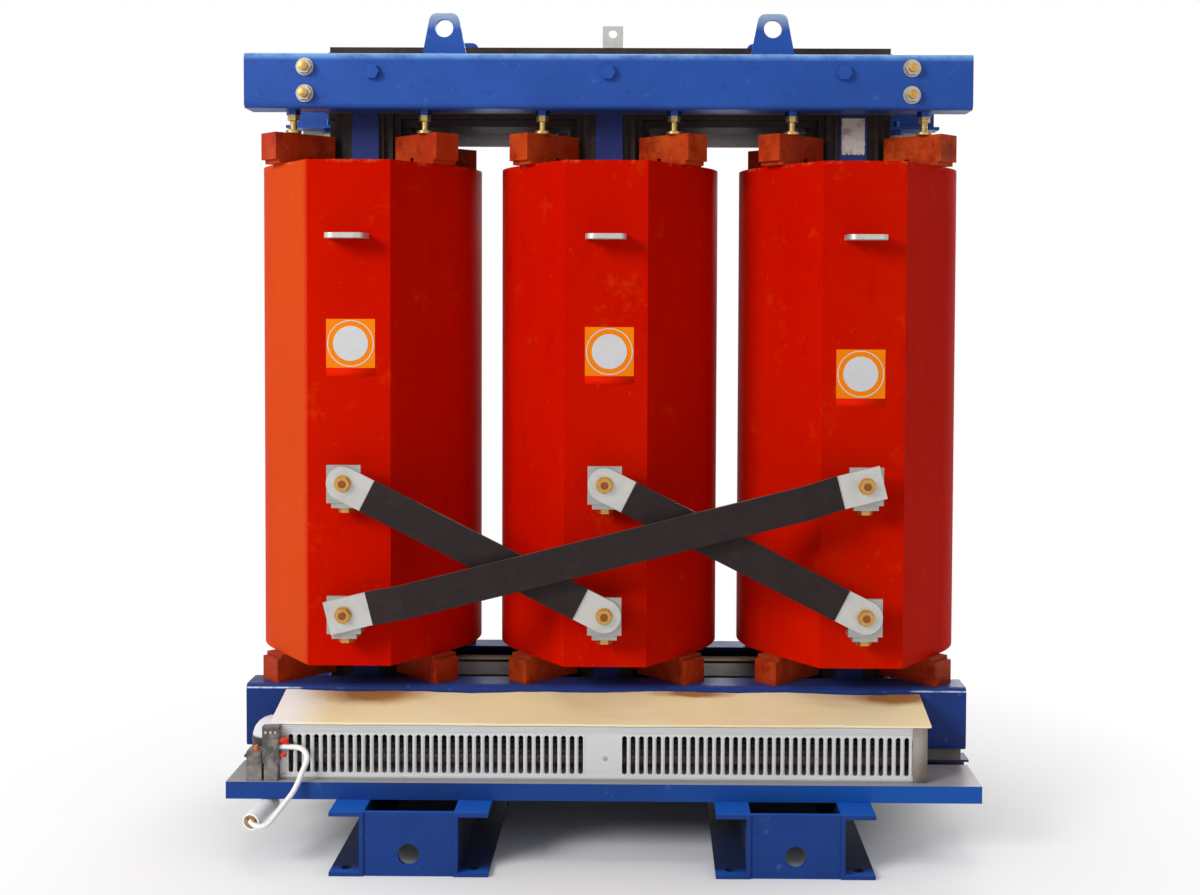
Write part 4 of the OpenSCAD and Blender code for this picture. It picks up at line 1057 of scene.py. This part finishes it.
# Axis of the capacitor, from its inner to its outer end, in millimetres
CAPACITOR_INNER = Vector((-586, -299.946, 97.4))
CAPACITOR_OUTER = Vector((-602, -377.946, 87.5))
CAPACITOR_RIM = ((12.2, -0.5), (15.1, -1.0), (15.3, 0.4), (14.4, 1.8), (12.6, 1.4))
CAPACITOR_DISC = ((12.5, -0.4), (12.5, 0.4), (0.01, 0.5))
TAB_ANGLES = (35, 145)
TAB_OUT, TAB_W, TAB_ROUND, TAB_H = 8 * MM, 4.6 * MM, 0.8 * MM, 4.5 * MM


def make_capacitor_end():
    """Rolled rim, end disc and two tabs."""
    inner, outer = CAPACITOR_INNER * MM, CAPACITOR_OUTER * MM
    at = facing(outer, (outer - inner).normalized())
    rim, disc, tabs = Shape(), Shape(), Shape()
    rim.ring(in_mm(CAPACITOR_RIM), at, 40)
    rim.piece("capacitor_rim", "motor_white")
    disc.revolve(in_mm(CAPACITOR_DISC), at, 40)
    brown = plain("capacitor_disc", (0.30, 0.21, 0.11), 0.5, (0.19, 0.12, 0.06))
    disc.piece("capacitor_end_disc", "motor_white", brown)
    for angle in TAB_ANGLES:
        t = math.radians(angle)
        spot = at @ Matrix.Translation((TAB_OUT * math.cos(t), TAB_OUT * math.sin(t), 0))
        tabs.prism(rounded_square(TAB_W, TAB_ROUND), -SINK, TAB_H, spot)
    tabs.piece("capacitor_tabs", "yellow_zinc")


LUG_T = 12 * MM
LUG_FOOT_W = 80 * MM
BEAD_STEPS = 24
# Mean radius of the bead, how much it varies, its share at both ends, and its place, in millimetres
BEAD_R, BEAD_VARIES, BEAD_END, BEAD_OUT, BEAD_INSET = 3.4, 0.9, 0.45, 0.6, 4


def make_lug_welds():
    """Uneven weld bead along both faces of each lug's foot."""
    beads = Shape()
    low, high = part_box("lifting_lugs")
    foot_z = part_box("upper_front_clamp")[1].z
    foot_x = high.x - LUG_FOOT_W / 2
    for y_mid in (low.y + LUG_T / 2, high.y - LUG_T / 2):
        for x_mid in (-foot_x, foot_x):
            for face in (-1, 1):
                y = y_mid + face * (LUG_T / 2 + BEAD_OUT * MM)
                rings = []
                for k in range(BEAD_STEPS + 1):
                    x = x_mid + (k / BEAD_STEPS - 0.5) * (LUG_FOOT_W - BEAD_INSET * MM)
                    share = BEAD_END if k in (0, BEAD_STEPS) else 1
                    r = (BEAD_R + BEAD_VARIES * noise.noise((x * 160, y_mid * 40, face))) * MM * share
                    rings.append([(x, y + r * math.cos(t), foot_z + r * math.sin(t)) for t in full_turn(10)])
                beads.loft(rings)
    beads.piece("lug_weld_beads", "blue_paint", UPPER_CLAMP_PAINT)


LABEL_X = (LIMB_X["right"] - 0.022, LIMB_X["right"] + 0.021)
LABEL_Z = (1.2585, 1.3260)
LABEL_STEPS = 14
# How far the lower edge and sides are torn, and how far the sheet reaches behind and before the plate
TORN_EDGE, TORN_SIDE = 0.004, 0.0015
LABEL_BACK, LABEL_FRONT = 0.0001, 0.0004


def make_blank_label():
    """Plain, weathered label on the front of the right tie plate."""
    plate_y = -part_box("tie_plates")[1].y
    (x0, x1), (z0, z1), n = LABEL_X, LABEL_Z, LABEL_STEPS
    w, h = x1 - x0, z1 - z0
    outline = [(x0 + w * k / n, z0 + TORN_EDGE * noise.noise((k * 0.8, 2.0, 5.0))) for k in range(n + 1)]
    outline += [(x1 + TORN_SIDE * noise.noise((7.0, k * 0.9, 1.0)), z0 + h * k / n) for k in range(1, n)]
    outline += [(x1 - w * k / n, z1) for k in range(n + 1)]
    outline += [(x0 + TORN_SIDE * noise.noise((3.0, k * 0.9, 8.0)), z1 - h * k / n) for k in range(1, n)]
    sheet = Shape()
    sheet.loft([[(x, y, z) for x, z in outline] for y in (plate_y + LABEL_BACK, plate_y - LABEL_FRONT)])
    p = Paint("label_paper", (0.62, 0.58, 0.53), roughness=0.8, specular=0.2)
    p.patches((0.30, 0.22, 0.15), (0.48, 0.62), mix=0.8, scale=60, detail=6, rough=0.7)
    p.patches((0.70, 0.69, 0.67), (0.55, 0.7), mix=0.6, scale=25, detail=4)
    p.grain(depth=0.0005, strength=0.5, scale=150, detail=4)
    sheet.piece("blank_tie_plate_label", "grey_pad", p.material)


make_box_details()
make_motor_shields()
make_capacitor_end()
make_lug_welds()
make_blank_label()


# Floor, light and background

WHITE = (1, 1, 1, 1)
FLOOR_HALF = 30.0
# The floor turns into the white background between these distances from the middle
FLOOR_FADE = (0.45, 1.3)
WORLD_STRENGTH = 0.36
# Name, place, aim, size in metres and power in watts
LIGHTS = (
    ("key", (-4.0, -3.9, 3.2), (0, 0, 0.8), 2.4, 270),
    ("fill", (2.8, -3.0, 1.6), (0, 0, 0.7), 2.5, 10),
    ("top", (0.0, 0.4, 4.2), (0, 0, 0), 3.0, 60),
    ("rear", (1.5, 3.6, 2.4), (0, 0, 0.8), 2.5, 70),
)


def background_rays(tree):
    """1 for the rays that see the background: camera, glossy and transmission rays."""
    rays = tree.nodes.new("ShaderNodeLightPath")
    seen = rays.outputs["Is Camera Ray"]
    for name in ("Is Glossy Ray", "Is Transmission Ray"):
        either = tree.nodes.new("ShaderNodeMath")
        either.operation = "MAXIMUM"
        tree.links.new(seen, either.inputs[0])
        tree.links.new(rays.outputs[name], either.inputs[1])
        seen = either.outputs[0]
    return seen


def make_floor():
    """Pale floor that holds the shadow and turns into the white background further out."""
    mesh = bpy.data.meshes.new("floor")
    corners = [(x * FLOOR_HALF, y * FLOOR_HALF, 0) for x, y in ((-1, -1), (1, -1), (1, 1), (-1, 1))]
    mesh.from_pydata(corners, [], [(0, 1, 2, 3)])
    floor = new_object("floor", mesh)
    p = Paint("floor", (0.86, 0.86, 0.86), roughness=0.9, specular=0.1)
    white = p.node("Emission")
    length = p.node("VectorMath", operation="LENGTH")
    p.join(p.place, length.inputs[0])
    away = p.band(length.outputs["Value"], *FLOOR_FADE)
    mix = p.node("MixShader")
    p.join(p.times(away, background_rays(p.tree)), mix.inputs[0])
    p.join(p.shader.outputs[0], mix.inputs[1])
    p.join(white.outputs[0], mix.inputs[2])
    p.join(mix.outputs[0], p.tree.nodes["Material Output"].inputs["Surface"])
    mesh.materials.append(p.material)


def area_light(name, at, towards, size, watts):
    data = bpy.data.lights.new(name, "AREA")
    data.shape = "DISK"
    data.size = size
    data.energy = watts
    light = new_object(name, data)
    aim = (Vector(towards) - Vector(at)).to_track_quat("-Z", "Y")
    light.matrix_world = Matrix.Translation(at) @ aim.to_matrix().to_4x4()


def make_world():
    """Even light from all round, and a white background."""
    world = bpy.data.worlds.new("studio")
    bpy.context.scene.world = world
    world.use_nodes = True
    tree = world.node_tree
    lighting = tree.nodes["Background"]
    lighting.inputs["Color"].default_value = WHITE
    lighting.inputs["Strength"].default_value = WORLD_STRENGTH
    white = tree.nodes.new("ShaderNodeBackground")
    white.inputs["Color"].default_value = WHITE
    mix = tree.nodes.new("ShaderNodeMixShader")
    tree.links.new(background_rays(tree), mix.inputs[0])
    tree.links.new(lighting.outputs[0], mix.inputs[1])
    tree.links.new(white.outputs[0], mix.inputs[2])
    tree.links.new(mix.outputs[0], tree.nodes["World Output"].inputs["Surface"])


make_floor()
make_world()
for light_row in LIGHTS:
    area_light(*light_row)
bpy.context.scene.view_settings.view_transform = "Standard"
